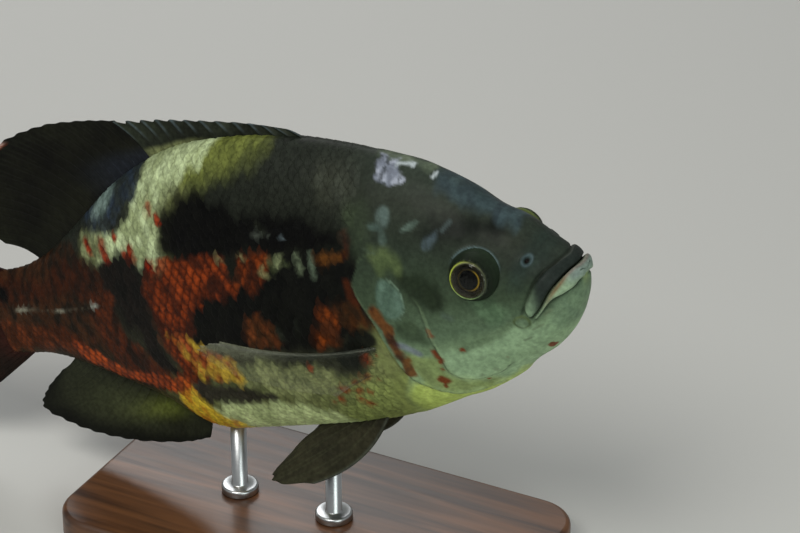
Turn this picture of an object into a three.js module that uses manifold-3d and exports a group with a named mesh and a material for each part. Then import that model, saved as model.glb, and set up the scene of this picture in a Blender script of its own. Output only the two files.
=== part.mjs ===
// Oscar cichlid (Astronotus ocellatus), adult: a still, life-size display model on a stand.
// Millimetres, +Z up. The fish looks along +X with its head raised. The origin is the middle of
// the underside of the stand's base.
//
// Places on the fish are given in hundredths of its standard length, which runs from the snout
// tip to the end of the tail stalk: station (behind the snout), out (from the middle plane) and
// height (above the body's axis).

import * as THREE from 'three';
import * as BufferGeometryUtils from 'three/addons/utils/BufferGeometryUtils.js';
import Module from 'manifold-3d';

const wasm = await Module();
wasm.setup();

// Driving dimensions, in millimetres and degrees

const standardLength = 250;
const noseUp = 19;
const fishHeight = 108; // the body's axis above the floor, over the origin
const jointGap = 0.3; // kept between pieces that touch

const eyeRadius = 9.2;
const pupilRadius = 3.4;
const irisRadius = 6.6;
const orbitRimRadius = 1.1;
const nostrilRadius = 1.1;

const upperLipRadius = 2.3;
const lowerLipRadius = 1.9;
const lowerLipForward = 0.8;
const lipSpread = 0.9; // from the mouth line to the middle of a lip, in lip radii
const gillCoverThickness = 3.2;
const gillCoverProud = 0.8;

const rayThickness = 1.3; // across a fin at the root of a ray
const webThickness = 0.56; // across a fin between its rays and at its edge
const webReach = 0.975; // the web's share of the way to the ray tips

const baseLength = 176;
const baseWidth = 96;
const baseThickness = 12;
const baseCornerRadius = 16;
const baseChamfer = 2;
const rodRadius = 3;
const rodCollarRadius = 7;
const rodCollarHeight = 3;

// Stations along the fish

const middleStation = 45; // lies over the origin
const bodyStart = 0.6;
const bodyEnd = 102.6;
const headEnd = 28.6;
const trunkMiddle = 59;
const tailStalkStart = 91;
const rodStations = [ 49, 66 ];

const eyePlace = { station: 13.4, out: 6.4, height: 2.35 };
const eyeLook = new THREE.Vector3( 0.08, 0.99, 0.1 ).normalize(); // the left eye's axis
const nostrilPlace = { station: 6.3, height: 2.8 };
const mouthTip = { station: 0.8, height: 0.2 };
const mouthCorner = { station: 7.6, height: - 5, out: 6.2 };
const jawRear = { station: 14, height: - 15 };

// The body's outline: [ station, value ] in hundredths of the standard length

const back = smoothLine( [ [ 0.6, - 1 ], [ 1, 0.3 ], [ 2.2, 1.5 ], [ 3.6, 3.1 ], [ 5.4, 5 ],
	[ 7, 6.9 ], [ 8.8, 8.4 ], [ 10.6, 9.4 ], [ 12.4, 10.7 ], [ 14.4, 12.7 ], [ 17, 14.6 ],
	[ 20.7, 16.9 ], [ 25, 18.6 ], [ 31, 20.7 ], [ 38, 22.5 ], [ 46, 23.8 ], [ 54, 24.1 ], [ 61, 23.5 ],
	[ 68, 21.4 ], [ 74, 18.7 ], [ 80, 15 ], [ 86, 11.3 ], [ 91, 8.8 ], [ 96, 7.4 ], [ 102.6, 7.2 ] ] );
const belly = smoothLine( [ [ 0.6, - 0.8 ], [ 0.9, - 3.5 ], [ 2.3, - 6.4 ], [ 3.9, - 8.6 ],
	[ 5.7, - 10.3 ], [ 8, - 11.9 ], [ 11, - 13.2 ], [ 14, - 15 ], [ 19, - 17 ], [ 24, - 18.3 ],
	[ 31.5, - 20.1 ], [ 38, - 20.9 ], [ 47, - 21.2 ], [ 56, - 21.3 ], [ 64, - 21.4 ],
	[ 68.6, - 20.6 ], [ 72, - 18.5 ], [ 75, - 16.4 ], [ 79, - 14.2 ], [ 84, - 11.8 ], [ 88, - 9.9 ],
	[ 92, - 8.2 ], [ 96, - 7.2 ], [ 102.6, - 7 ] ] );
const halfWidth = smoothLine( [ [ 0.6, 1.2 ], [ 0.9, 2 ], [ 1.6, 3.2 ], [ 3.2, 4.7 ], [ 6, 6.1 ],
	[ 8.5, 7 ], [ 12, 7.9 ], [ 16, 8.8 ], [ 22, 9.7 ], [ 29, 10.3 ], [ 38, 10.4 ], [ 48, 10.1 ],
	[ 58, 9.2 ], [ 66, 8 ], [ 74, 6.4 ], [ 82, 4.8 ], [ 88, 3.8 ], [ 94, 2.9 ], [ 102.6, 1.5 ] ] );
const widestHeight = smoothLine( [ [ 0.6, - 0.6 ], [ 8, - 2 ], [ 16, - 1 ], [ 30, - 1.5 ],
	[ 50, 0 ], [ 70, 1 ], [ 102.6, 0.1 ] ] );

// How square the sections are above and below their widest height: 2 is an ellipse

const backPower = smoothLine( [ [ 0.6, 1.6 ], [ 16, 1.64 ], [ 24, 1.67 ], [ 36, 1.72 ],
	[ 50, 1.9 ], [ 102.6, 1.9 ] ] );
const bellyPower = smoothLine( [ [ 0.6, 2 ], [ 20, 2 ], [ 40, 2.25 ], [ 66, 2.1 ], [ 80, 1.9 ],
	[ 102.6, 1.9 ] ] );

// The outline of a gill cover, and the folds that stand out of the skin: [ station, height ]

const gillCoverOutline = [ [ 24.4, 7.4 ], [ 28.4, 7.6 ], [ 31, 5.6 ], [ 31.3, 3.2 ], [ 30, 0 ],
	[ 28.8, - 4 ], [ 28.2, - 7.6 ], [ 26.8, - 11.6 ], [ 24.2, - 14 ], [ 21.6, - 14.2 ],
	[ 22.2, - 11.4 ], [ 22.8, - 7 ], [ 22.9, - 2 ], [ 23.3, 3.4 ] ];
const cheekFold = [ [ 22.6, 5.5 ], [ 22.3, 1 ], [ 21.9, - 4 ], [ 21.4, - 9 ], [ 20, - 12.2 ],
	[ 17, - 12.9 ], [ 13.4, - 11.8 ] ];
const throatFold = [ [ 27.8, - 12.4 ], [ 26.4, - 14.6 ], [ 24, - 16 ], [ 21, - 16 ] ];
const lipFold = [ [ 3.1, 2.2 ], [ 5, 1.2 ], [ 7.4, - 1.2 ], [ 9, - 3.6 ] ];
const chinFold = [ [ 2.2, - 3.8 ], [ 4, - 5.6 ], [ 6, - 7.2 ], [ 7.8, - 8.2 ] ];

// Fins: a root line, sunk in the body, and the line of the ray tips, each through a few places
// [ station, out, height ]. The first and last ray bow by the given shares of their length.

const seam = { root: [ 64.6, 0, 20.9 ], edge: [ 69.6, 0, 28.3 ] }; // spiny to soft dorsal
const seamGap = 0.24;
const finSink = 1.6;

const fins = {
	dorsal_fin_spiny: {
		rays: 13, rows: 5, ripple: 0.7, bow: [ 0.05, 0, 0.05 ],
		root: [ ...alongOutline( back, 37, 60, 4, - finSink ), seam.root ],
		edge: [ [ 40.5, 0, 23.9 ], [ 46.5, 0, 25.4 ], [ 54.6, 0, 26.8 ], [ 62, 0, 27.8 ], seam.edge ]
	},
	dorsal_fin_soft: {
		rays: 20, rows: 5, flesh: 2, sway: 1.6, bow: [ 0.02, 0, 0.08 ],
		root: [ behind( seam.root, seamGap ), ...alongOutline( back, 70, 90.4, 5, - finSink ) ],
		edge: [ behind( seam.edge, seamGap ), [ 76, 0, 28.9 ], [ 83.5, 0, 28.9 ], [ 91, 0, 27.4 ],
			[ 98, 0, 24.2 ], [ 102, 0, 19.6 ], [ 101, 0, 15.4 ], [ 96.4, 0, 11.5 ] ]
	},
	anal_fin: {
		rays: 18, rows: 5, flesh: 2, sway: - 1.4, bow: [ 0.02, 0, - 0.06 ],
		root: alongOutline( belly, 69.8, 90.4, 6, finSink ),
		edge: [ [ 71.6, 0, - 22.9 ], [ 75.6, 0, - 23.3 ], [ 83.6, 0, - 22.8 ], [ 90.8, 0, - 21.4 ],
			[ 97, 0, - 19.1 ], [ 101.4, 0, - 16 ], [ 99.6, 0, - 13.4 ], [ 95.4, 0, - 10.4 ] ]
	},
	caudal_fin: {
		rays: 18, rows: 5, flesh: 3, sway: 3, bow: [ 0, 0, 0 ],
		root: [ [ 97.6, 0, 6.2 ], [ 100.4, 0, 5.2 ], [ 101, 0, 0 ], [ 100.4, 0, - 5.2 ],
			[ 97.6, 0, - 6.2 ] ],
		edge: [ [ 106.5, 0, 10.9 ], [ 113, 0, 13.4 ], [ 119.5, 0, 13.6 ], [ 124.6, 0, 10.4 ],
			[ 126.8, 0, 5 ], [ 127.2, 0, 0 ], [ 126.8, 0, - 5 ], [ 124.6, 0, - 10.4 ],
			[ 119.5, 0, - 13.6 ], [ 113, 0, - 13.4 ], [ 106.5, 0, - 10.9 ] ]
	},
	pectoral_fin: {
		rays: 14, rows: 5, flesh: 1, bow: [ 0, - 0.02, - 0.085 ], lastBow: [ 0, 0.03, 0.02 ],
		root: [ [ 29.5, 9.5, - 5.6 ], [ 30.7, 9.3, - 7.6 ], [ 32.6, 8.8, - 10.2 ] ],
		edge: [ [ 50, 17.8, 0.4 ], [ 54.2, 18, - 0.3 ], [ 54, 16.6, - 3.2 ], [ 50.5, 14.6, - 7 ],
			[ 45, 12.6, - 10.2 ], [ 38.5, 11.2, - 12.3 ] ]
	},
	pelvic_fin: {
		rays: 6, rows: 7, flesh: 1, bow: [ 0.08, 0, - 0.1 ], lastBow: [ - 0.04, 0, 0.1 ],
		root: [ [ 35.2, 3.8, - 17.4 ], [ 38.6, 3, - 18.8 ], [ 43.2, 2.6, - 19.8 ] ],
		edge: [ [ 50.4, 7.4, - 27.8 ], [ 57.6, 7.2, - 27.3 ], [ 58, 6, - 26.4 ], [ 55.6, 4.8, - 25 ] ]
	}
};

// Materials, with the colours of the wet, living skin

const headSkin = skinMaterial( 0x4b5648 );
const bodySkin = skinMaterial( 0x35362a );
const finSkin = skinMaterial( 0x23241c );
const eyeMaterial = new THREE.MeshStandardMaterial( { color: 0x5b4a1c, roughness: 0.12 } );
const woodMaterial = new THREE.MeshStandardMaterial( { color: 0x4a2f1d, roughness: 0.5 } );
const steelMaterial = new THREE.MeshStandardMaterial( { color: 0xb9bcbf, roughness: 0.3, metalness: 1 } );

function skinMaterial( color ) {

	return new THREE.MeshStandardMaterial( { color, roughness: 0.38 } );

}

// A smooth line through a list of [ station, value ], which never overshoots its points

function smoothLine( list ) {

	const slopes = list.map( ( point, i ) => {

		const before = list[ Math.max( i - 1, 0 ) ];
		const after = list[ Math.min( i + 1, list.length - 1 ) ];
		const turns = ( point[ 1 ] - before[ 1 ] ) * ( after[ 1 ] - point[ 1 ] ) < 0;
		return turns ? 0 : ( after[ 1 ] - before[ 1 ] ) / ( after[ 0 ] - before[ 0 ] );

	} );

	return ( station ) => {

		let i = 0;
		while ( i < list.length - 2 && station > list[ i + 1 ][ 0 ] ) i ++;
		const [ start, from ] = list[ i ];
		const [ end, to ] = list[ i + 1 ];
		const span = end - start;
		const t = THREE.MathUtils.clamp( ( station - start ) / span, 0, 1 );
		const ease = t * t * ( 3 - 2 * t );
		const leave = t * ( 1 - t ) * ( 1 - t );
		const arrive = t * t * ( t - 1 );
		return from + ( to - from ) * ease + span * ( slopes[ i ] * leave + slopes[ i + 1 ] * arrive );

	};

}

// Places

function place( station, out, height ) {

	const unit = standardLength / 100;
	return new THREE.Vector3( ( middleStation - station ) * unit, out * unit, height * unit );

}

function behind( [ station, out, height ], step ) {

	return [ station + step, out, height ];

}

function alongOutline( outline, from, to, count, offset ) {

	return Array.from( { length: count }, ( _, i ) => {

		const station = from + ( to - from ) * i / ( count - 1 );
		return [ station, 0, outline( station ) + offset ];

	} );

}

function onSurface( station, height, side ) {

	const middle = widestHeight( station );
	const above = height > middle;
	const reach = above ? back( station ) - middle : middle - belly( station );
	const power = above ? backPower( station ) : bellyPower( station );
	const share = Math.min( Math.abs( height - middle ) / reach, 1 );
	const out = halfWidth( station ) * Math.pow( 1 - Math.pow( share, power ), 1 / power );
	return place( station, side * out, height );

}

function surfaceNormal( station, height, side ) {

	const step = 0.4;
	const along = onSurface( station + step, height, side ).sub( onSurface( station - step, height, side ) );
	const up = onSurface( station, height + step, side ).sub( onSurface( station, height - step, side ) );
	return up.cross( along ).multiplyScalar( - side ).normalize();

}

// Closed meshes to solids, and solids back to geometry

function solidOf( geometry ) {

	const bare = geometry.clone();
	bare.deleteAttribute( 'normal' );
	bare.deleteAttribute( 'uv' );
	const merged = BufferGeometryUtils.mergeVertices( bare, 1e-4 );
	return new wasm.Manifold( new wasm.Mesh( {
		numProp: 3,
		vertProperties: new Float32Array( merged.attributes.position.array ),
		triVerts: new Uint32Array( merged.index.array )
	} ) );

}

function geometryFrom( solid ) {

	const { vertProperties, triVerts } = solid.getMesh();
	const geometry = new THREE.BufferGeometry();
	geometry.setAttribute( 'position', new THREE.BufferAttribute( vertProperties, 3 ) );
	geometry.setIndex( new THREE.BufferAttribute( triVerts, 1 ) );
	return geometry;

}

function largestPiece( solid ) {

	return solid.decompose().reduce( ( best, piece ) => piece.volume() > best.volume() ? piece : best );

}

function meshOf( name, solid, material ) {

	const geometry = geometryFrom( largestPiece( solid ) );
	geometry.computeVertexNormals();
	const mesh = new THREE.Mesh( geometry, material );
	mesh.name = name;
	return mesh;

}

// All that lies below a plane, or in front of or behind a station

function belowPlane( point, tilt, grow ) {

	const size = 400;
	const block = new THREE.BoxGeometry( size, size, size );
	block.translate( 0, 0, grow - size / 2 );
	block.rotateY( tilt );
	block.translate( point.x, point.y, point.z );
	return solidOf( block );

}

function frontOf( station ) {

	return belowPlane( place( station, 0, 0 ), - Math.PI / 2, - jointGap / 2 );

}

function rearOf( station ) {

	return belowPlane( place( station, 0, 0 ), Math.PI / 2, - jointGap / 2 );

}

// Closed geometry from rings of points, all with the same count, the ends filled by fans

function ringGeometry( rings ) {

	const sides = rings[ 0 ].length;
	const points = rings.flat();
	const faces = [];
	for ( let i = 0; i < rings.length - 1; i ++ ) {

		for ( let j = 0; j < sides; j ++ ) {

			const a = i * sides + j;
			const b = i * sides + ( j + 1 ) % sides;
			faces.push( a, b, a + sides, b, b + sides, a + sides );

		}

	}

	for ( const ring of [ 0, rings.length - 1 ] ) {

		const centre = new THREE.Vector3();
		rings[ ring ].forEach( ( point ) => centre.addScaledVector( point, 1 / sides ) );
		points.push( centre );
		for ( let j = 0; j < sides; j ++ ) {

			const edge = [ ring * sides + j, ring * sides + ( j + 1 ) % sides ];
			if ( ring === 0 ) edge.reverse();
			faces.push( points.length - 1, ...edge );

		}

	}

	const geometry = new THREE.BufferGeometry().setFromPoints( points );
	geometry.setIndex( faces );
	return geometry;

}

// A round bar along a curve, with a radius for each share of the way

function barGeometry( curve, radiusAt, steps, sides ) {

	const { normals, binormals } = curve.computeFrenetFrames( steps, false );
	const rings = [];
	for ( let i = 0; i <= steps; i ++ ) {

		const centre = curve.getPointAt( i / steps );
		const radius = radiusAt( i / steps );
		rings.push( Array.from( { length: sides }, ( _, j ) => {

			const angle = 2 * Math.PI * j / sides;
			return centre.clone()
				.addScaledVector( normals[ i ], radius * Math.cos( angle ) )
				.addScaledVector( binormals[ i ], radius * Math.sin( angle ) );

		} ) );

	}

	return ringGeometry( rings );

}

// A fold that stands out of the skin along [ station, height ] points

function skinFold( route, side, radius, proud ) {

	const points = route.map( ( [ station, height ] ) => {

		const inward = surfaceNormal( station, height, side ).multiplyScalar( proud - radius );
		return onSurface( station, height, side ).add( inward );

	} );
	const taper = ( share ) => radius * ( 0.5 + 0.5 * Math.sin( Math.PI * share ) );
	return solidOf( barGeometry( new THREE.CatmullRomCurve3( points ), taper, 9, 5 ) );

}

// The whole body in one piece, or grown by a few tenths for what has to stay clear of it

function bodySolid( grow ) {

	const rings = 40;
	const sides = 36;
	const more = grow / standardLength * 100;
	const sections = [];
	for ( let i = 0; i < rings; i ++ ) {

		const share = i / ( rings - 1 );
		const station = bodyStart + ( bodyEnd - bodyStart ) * ( 1 - Math.cos( Math.PI / 2 * share ) );
		const forward = more * Math.cos( Math.PI * share );
		const middle = widestHeight( station );
		sections.push( Array.from( { length: sides }, ( _, j ) => {

			const angle = 2 * Math.PI * j / sides;
			const above = Math.cos( angle ) > 0;
			const power = 2 / ( above ? backPower( station ) : bellyPower( station ) );
			const reach = more + ( above ? back( station ) - middle : middle - belly( station ) );
			const out = signedPower( Math.sin( angle ), power ) * ( halfWidth( station ) + more );
			return place( station - forward, out, middle + reach * signedPower( Math.cos( angle ), power ) );

		} ) );

	}

	return solidOf( ringGeometry( sections ) );

}

function signedPower( value, power ) {

	return Math.sign( value ) * Math.pow( Math.abs( value ), power );

}

// Head

function mouthCurve( lift, forward ) {

	const steps = 12;
	const slope = Math.atan2( mouthTip.height - mouthCorner.height, mouthCorner.station - mouthTip.station );
	const points = [];
	for ( let i = 0; i <= steps; i ++ ) {

		const angle = Math.PI * ( i / steps - 0.5 );
		const share = Math.cos( angle );
		const station = THREE.MathUtils.lerp( mouthCorner.station, mouthTip.station, share );
		const height = THREE.MathUtils.lerp( mouthCorner.height, mouthTip.height, share );
		const point = place( station, mouthCorner.out * Math.sin( angle ), height );
		point.x += forward * share - lift * Math.sin( slope );
		point.z += lift * Math.cos( slope );
		points.push( point );

	}

	return new THREE.CatmullRomCurve3( points );

}

function lip( radius, direction, forward ) {

	const curve = mouthCurve( direction * ( radius + jointGap ) * lipSpread, forward );
	const taper = ( share ) => radius * ( 1 - 0.25 * Math.sin( Math.PI * share ) );
	return solidOf( barGeometry( curve, taper, 18, 7 ) );

}

function jawSpace( grow ) {

	const corner = place( mouthCorner.station, 0, mouthCorner.height );
	const tip = place( mouthTip.station, 0, mouthTip.height );
	const rear = place( jawRear.station, 0, jawRear.height );
	const mouthTilt = - Math.atan2( tip.z - corner.z, tip.x - corner.x );
	const rearTilt = - Math.atan2( corner.z - rear.z, corner.x - rear.x );
	return belowPlane( corner, mouthTilt, grow ).intersect( belowPlane( corner, rearTilt, grow ) );

}

function eyeAxis( side ) {

	return new THREE.Vector3( eyeLook.x, side * eyeLook.y, eyeLook.z );

}

function eyeCentre( side ) {

	return place( eyePlace.station, side * eyePlace.out, eyePlace.height );

}

// Turns geometry made round +Z so that it faces along an axis, and moves it to a place

function aimed( geometry, axis, centre ) {

	geometry.applyQuaternion( new THREE.Quaternion().setFromUnitVectors( new THREE.Vector3( 0, 0, 1 ), axis ) );
	return geometry.translate( centre.x, centre.y, centre.z );

}

function orbitRim( side ) {

	const skinDepth = 2.4; // from the eye's centre out to the plain skin
	const normal = surfaceNormal( eyePlace.station, eyePlace.height, side );
	const ring = new THREE.TorusGeometry( eyeRadius - 0.3, orbitRimRadius, 6, 20 );
	const centre = eyeCentre( side ).addScaledVector( normal, skinDepth );
	return solidOf( aimed( ring, normal, centre ) );

}

function eyeSocket( side ) {

	const hollow = new THREE.SphereGeometry( eyeRadius + jointGap, 18, 12 );
	return solidOf( aimed( hollow, eyeAxis( side ), eyeCentre( side ) ) );

}

// An eyeball turned round its axis, with steps at the iris and the pupil

function eyeball( side ) {

	const steps = 17;
	const profile = [];
	for ( let i = 0; i <= steps; i ++ ) {

		const angle = Math.PI * i / steps;
		const out = eyeRadius * Math.sin( angle );
		const front = Math.cos( angle ) > 0;
		const dip = front && out < irisRadius ? ( out < pupilRadius ? 0.25 : 0.5 ) : 0;
		profile.push( new THREE.Vector2( out, - eyeRadius * Math.cos( angle ) + dip ) );

	}

	profile[ 0 ].x = 0;
	profile[ steps ].x = 0;
	const ball = new THREE.LatheGeometry( profile, 18 );
	ball.rotateX( - Math.PI / 2 );
	return solidOf( aimed( ball, eyeAxis( side ), eyeCentre( side ) ) );

}

function nostril( side ) {

	const centre = onSurface( nostrilPlace.station, nostrilPlace.height, side );
	const normal = surfaceNormal( nostrilPlace.station, nostrilPlace.height, side );
	const rim = new THREE.TorusGeometry( nostrilRadius + 0.4, 0.5, 5, 9 );
	const hole = new THREE.SphereGeometry( nostrilRadius, 7, 5 );
	return {
		rim: solidOf( aimed( rim, normal, centre ) ),
		hole: solidOf( aimed( hole, normal, centre.clone().addScaledVector( normal, 0.2 ) ) )
	};

}

// A prism through one side of the fish, from a closed outline grown outward by a gap

function sidePrism( outline, side, grow ) {

	const curve = new THREE.CatmullRomCurve3( outline.map( ( [ station, height ] ) =>
		place( station, 0, height ) ), true );
	const steps = 28;
	const points = [];
	for ( let i = 0; i < steps; i ++ ) {

		const point = curve.getPointAt( i / steps );
		const tangent = curve.getTangentAt( i / steps );
		points.push( new THREE.Vector2( point.x + tangent.z * grow, point.z - tangent.x * grow ) );

	}

	const inner = 2;
	const outer = 40;
	const prism = new THREE.ExtrudeGeometry( new THREE.Shape( points ),
		{ depth: outer - inner, bevelEnabled: false } );
	prism.rotateX( Math.PI / 2 );
	prism.translate( 0, side > 0 ? outer : - inner, 0 );
	return solidOf( prism );

}

// Fins

function finCurve( places, side ) {

	return new THREE.CatmullRomCurve3( places.map( ( [ station, out, height ] ) =>
		place( station, side * out, height ) ) );

}

// A point of a fin's middle surface: u runs from ray to ray, v from the root to the tips

function finPoint( fin, root, edge, side, u, v ) {

	const from = root.getPoint( u );
	const to = edge.getPoint( u );
	const length = from.distanceTo( to );
	const bow = new THREE.Vector3( ...fin.bow ).lerp( new THREE.Vector3( ...( fin.lastBow ?? fin.bow ) ), u );
	bow.y *= side;
	const point = from.lerp( to, v ).addScaledVector( bow, 4 * v * ( 1 - v ) * length );
	point.y += ( fin.sway ?? 0 ) * v * v * Math.sin( Math.PI * ( 0.2 + 1.2 * u ) );
	return point;

}

function finSolid( fin, side ) {

	const root = finCurve( fin.root, side );
	const edge = finCurve( fin.edge, side );
	const columns = 2 * ( fin.rays - 1 );
	const rows = fin.rows;
	const small = 0.004;
	const fleshReach = 0.3;
	const points = [ [], [] ];
	for ( let k = 0; k <= columns; k ++ ) {

		const u = k / columns;
		const isRay = k % 2 === 0;
		for ( let r = 0; r <= rows; r ++ ) {

			const v = r / rows * ( isRay ? 1 : webReach );
			const point = finPoint( fin, root, edge, side, u, v );
			const across = finPoint( fin, root, edge, side, Math.min( u + small, 1 ), v )
				.sub( finPoint( fin, root, edge, side, Math.max( u - small, 0 ), v ) );
			const along = finPoint( fin, root, edge, side, u, v + small )
				.sub( finPoint( fin, root, edge, side, u, v - small ) );
			const normal = across.cross( along ).normalize();
			const ridge = isRay ? ( rayThickness - webThickness ) * Math.pow( 1 - v, 0.8 ) : 0;
			const flesh = ( fin.flesh ?? 0 ) * Math.pow( Math.max( 1 - v / fleshReach, 0 ), 1.5 );
			const thickness = webThickness + ridge + flesh;
			point.addScaledVector( normal, ( fin.ripple ?? 0 ) * ( isRay ? 0 : v ) );
			points[ 0 ].push( point.clone().addScaledVector( normal, thickness / 2 ) );
			points[ 1 ].push( point.clone().addScaledVector( normal, - thickness / 2 ) );

		}

	}

	const other = points[ 0 ].length;
	const at = ( k, r ) => k * ( rows + 1 ) + r;
	const faces = [];
	for ( let k = 0; k < columns; k ++ ) {

		for ( let r = 0; r < rows; r ++ ) {

			const [ a, b, c, d ] = [ at( k, r ), at( k + 1, r ), at( k + 1, r + 1 ), at( k, r + 1 ) ];
			faces.push( a, b, c, a, c, d );
			faces.push( other + a, other + c, other + b, other + a, other + d, other + c );

		}

	}

	const rim = [];
	for ( let k = 0; k < columns; k ++ ) rim.push( at( k, 0 ) );
	for ( let r = 0; r < rows; r ++ ) rim.push( at( columns, r ) );
	for ( let k = columns; k > 0; k -- ) rim.push( at( k, rows ) );
	for ( let r = rows; r > 0; r -- ) rim.push( at( 0, r ) );
	rim.forEach( ( p, i ) => {

		const q = rim[ ( i + 1 ) % rim.length ];
		faces.push( q, p, other + p, q, other + p, other + q );

	} );

	const geometry = new THREE.BufferGeometry().setFromPoints( points.flat() );
	geometry.setIndex( faces );
	return solidOf( geometry );

}

// The stand

function baseGeometry() {

	const x = baseLength / 2 - baseChamfer;
	const y = baseWidth / 2 - baseChamfer;
	const r = baseCornerRadius - baseChamfer;
	const outline = new THREE.Shape();
	outline.absarc( x - r, y - r, r, 0, Math.PI / 2 );
	outline.absarc( r - x, y - r, r, Math.PI / 2, Math.PI );
	outline.absarc( r - x, r - y, r, Math.PI, 1.5 * Math.PI );
	outline.absarc( x - r, r - y, r, 1.5 * Math.PI, 2 * Math.PI );
	const plate = new THREE.ExtrudeGeometry( outline, {
		depth: baseThickness - 2 * baseChamfer, bevelThickness: baseChamfer, bevelSize: baseChamfer,
		bevelSegments: 2, curveSegments: 4
	} );
	return plate.translate( 0, 0, baseChamfer );

}

// A rod with a collar at its foot, up into the body, from which the body's space is then cut

function rodSolid( station, fishMatrix, bodySpace ) {

	const top = place( station, 0, belly( station ) ).applyMatrix4( fishMatrix );
	const foot = baseThickness + jointGap;
	const into = 6;
	const profile = [ [ 0, foot ], [ rodCollarRadius, foot ], [ rodCollarRadius, foot + rodCollarHeight - 1 ],
		[ rodCollarRadius - 1, foot + rodCollarHeight ], [ rodRadius, foot + rodCollarHeight ],
		[ rodRadius, top.z + into ], [ 0, top.z + into ] ];
	const rod = new THREE.LatheGeometry( profile.map( ( [ x, z ] ) => new THREE.Vector2( x, z ) ), 20 );
	rod.rotateX( Math.PI / 2 );
	rod.translate( top.x, 0, 0 );
	return solidOf( rod ).subtract( bodySpace );

}

// Assembly

const fish = new THREE.Group();
fish.rotation.y = - THREE.MathUtils.degToRad( noseUp );
fish.position.z = fishHeight;
fish.updateMatrix();

const sides = { left: 1, right: - 1 };
const body = bodySolid( 0 );
const bodySpace = bodySolid( jointGap );
const coverShell = bodySolid( gillCoverProud ).subtract( bodySolid( gillCoverProud - gillCoverThickness ) );
const coverFloor = bodySolid( gillCoverProud - gillCoverThickness - jointGap );

let frontFlesh = body.intersect( frontOf( headEnd ) ).add( lip( upperLipRadius, 1, 0 ) );
let jawFlesh = body.intersect( frontOf( headEnd ) ).add( lip( lowerLipRadius, - 1, lowerLipForward ) );
let trunkFlesh = body.intersect( rearOf( headEnd ) );

for ( const side of Object.values( sides ) ) {

	const pocket = sidePrism( gillCoverOutline, side, jointGap ).subtract( coverFloor );
	const { rim, hole } = nostril( side );
	frontFlesh = frontFlesh.add( skinFold( cheekFold, side, 2, 0.8 ) )
		.add( skinFold( throatFold, side, 1.8, 0.7 ) )
		.add( skinFold( lipFold, side, 2, 0.9 ) )
		.add( orbitRim( side ) ).add( rim )
		.subtract( hole ).subtract( eyeSocket( side ) ).subtract( pocket );
	jawFlesh = jawFlesh.add( skinFold( chinFold, side, 1.8, 0.7 ) );
	trunkFlesh = trunkFlesh.subtract( pocket );

}

fish.add( meshOf( 'head', frontFlesh.subtract( jawSpace( jointGap ) ), headSkin ) );
fish.add( meshOf( 'lower_jaw', jawFlesh.intersect( jawSpace( 0 ) ), headSkin ) );
fish.add( meshOf( 'trunk_front', trunkFlesh.intersect( frontOf( trunkMiddle ) ), bodySkin ) );
fish.add( meshOf( 'trunk_rear',
	body.intersect( rearOf( trunkMiddle ) ).intersect( frontOf( tailStalkStart ) ), bodySkin ) );
fish.add( meshOf( 'tail_stalk', body.intersect( rearOf( tailStalkStart ) ), bodySkin ) );

for ( const [ sideName, side ] of Object.entries( sides ) ) {

	const cover = coverShell.intersect( sidePrism( gillCoverOutline, side, 0 ) );
	fish.add( meshOf( `gill_cover_${ sideName }`, cover, headSkin ) );
	fish.add( meshOf( `eye_${ sideName }`, eyeball( side ), eyeMaterial ) );
	for ( const name of [ 'pectoral_fin', 'pelvic_fin' ] ) {

		const fin = finSolid( fins[ name ], side ).subtract( bodySpace );
		fish.add( meshOf( `${ name }_${ sideName }`, fin, finSkin ) );

	}

}

for ( const name of [ 'dorsal_fin_spiny', 'dorsal_fin_soft', 'anal_fin', 'caudal_fin' ] ) {

	fish.add( meshOf( name, finSolid( fins[ name ], 1 ).subtract( bodySpace ), finSkin ) );

}

const stand = new THREE.Group();
stand.add( meshOf( 'stand_base', solidOf( baseGeometry() ), woodMaterial ) );
const space = solidOf( geometryFrom( bodySpace ).applyMatrix4( fish.matrix ) );
[ 'front', 'rear' ].forEach( ( end, i ) => {

	const rod = rodSolid( rodStations[ i ], fish.matrix, space );
	stand.add( meshOf( `stand_rod_${ end }`, rod, steelMaterial ) );

} );

const group = new THREE.Group();
group.add( fish, stand );

export default group;
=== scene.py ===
import math

import bpy
import numpy as np
from mathutils import Matrix, Vector


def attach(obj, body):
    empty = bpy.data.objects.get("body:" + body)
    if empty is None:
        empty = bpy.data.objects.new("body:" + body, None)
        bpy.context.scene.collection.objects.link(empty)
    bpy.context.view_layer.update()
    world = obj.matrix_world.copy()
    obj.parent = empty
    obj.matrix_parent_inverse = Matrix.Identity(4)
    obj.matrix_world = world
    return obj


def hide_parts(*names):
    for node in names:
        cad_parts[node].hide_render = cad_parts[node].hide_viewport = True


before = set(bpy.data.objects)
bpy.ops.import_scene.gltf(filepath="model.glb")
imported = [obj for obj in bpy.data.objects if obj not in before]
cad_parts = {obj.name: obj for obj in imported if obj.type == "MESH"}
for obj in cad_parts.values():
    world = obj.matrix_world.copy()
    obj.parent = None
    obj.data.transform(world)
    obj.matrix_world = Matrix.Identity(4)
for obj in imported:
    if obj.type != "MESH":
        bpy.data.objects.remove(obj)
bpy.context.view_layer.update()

# The oscar lies nose up on its stand. Places on it are given as in the solids, in hundredths of
# its standard length: station behind the snout, out from the middle, height above the axis.

fish = {
    "length": 0.25,  # standard length, metres
    "noseUp": 19.0,  # degrees
    "axisHeight": 0.108,  # of the body's axis over the origin
    "middleStation": 45.0,
    "start": 0.6,
    "end": 102.6,
}
unit = fish["length"] / 100
toMm = unit * 1000
noseTurn = math.cos(math.radians(fish["noseUp"])), math.sin(math.radians(fish["noseUp"]))


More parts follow.
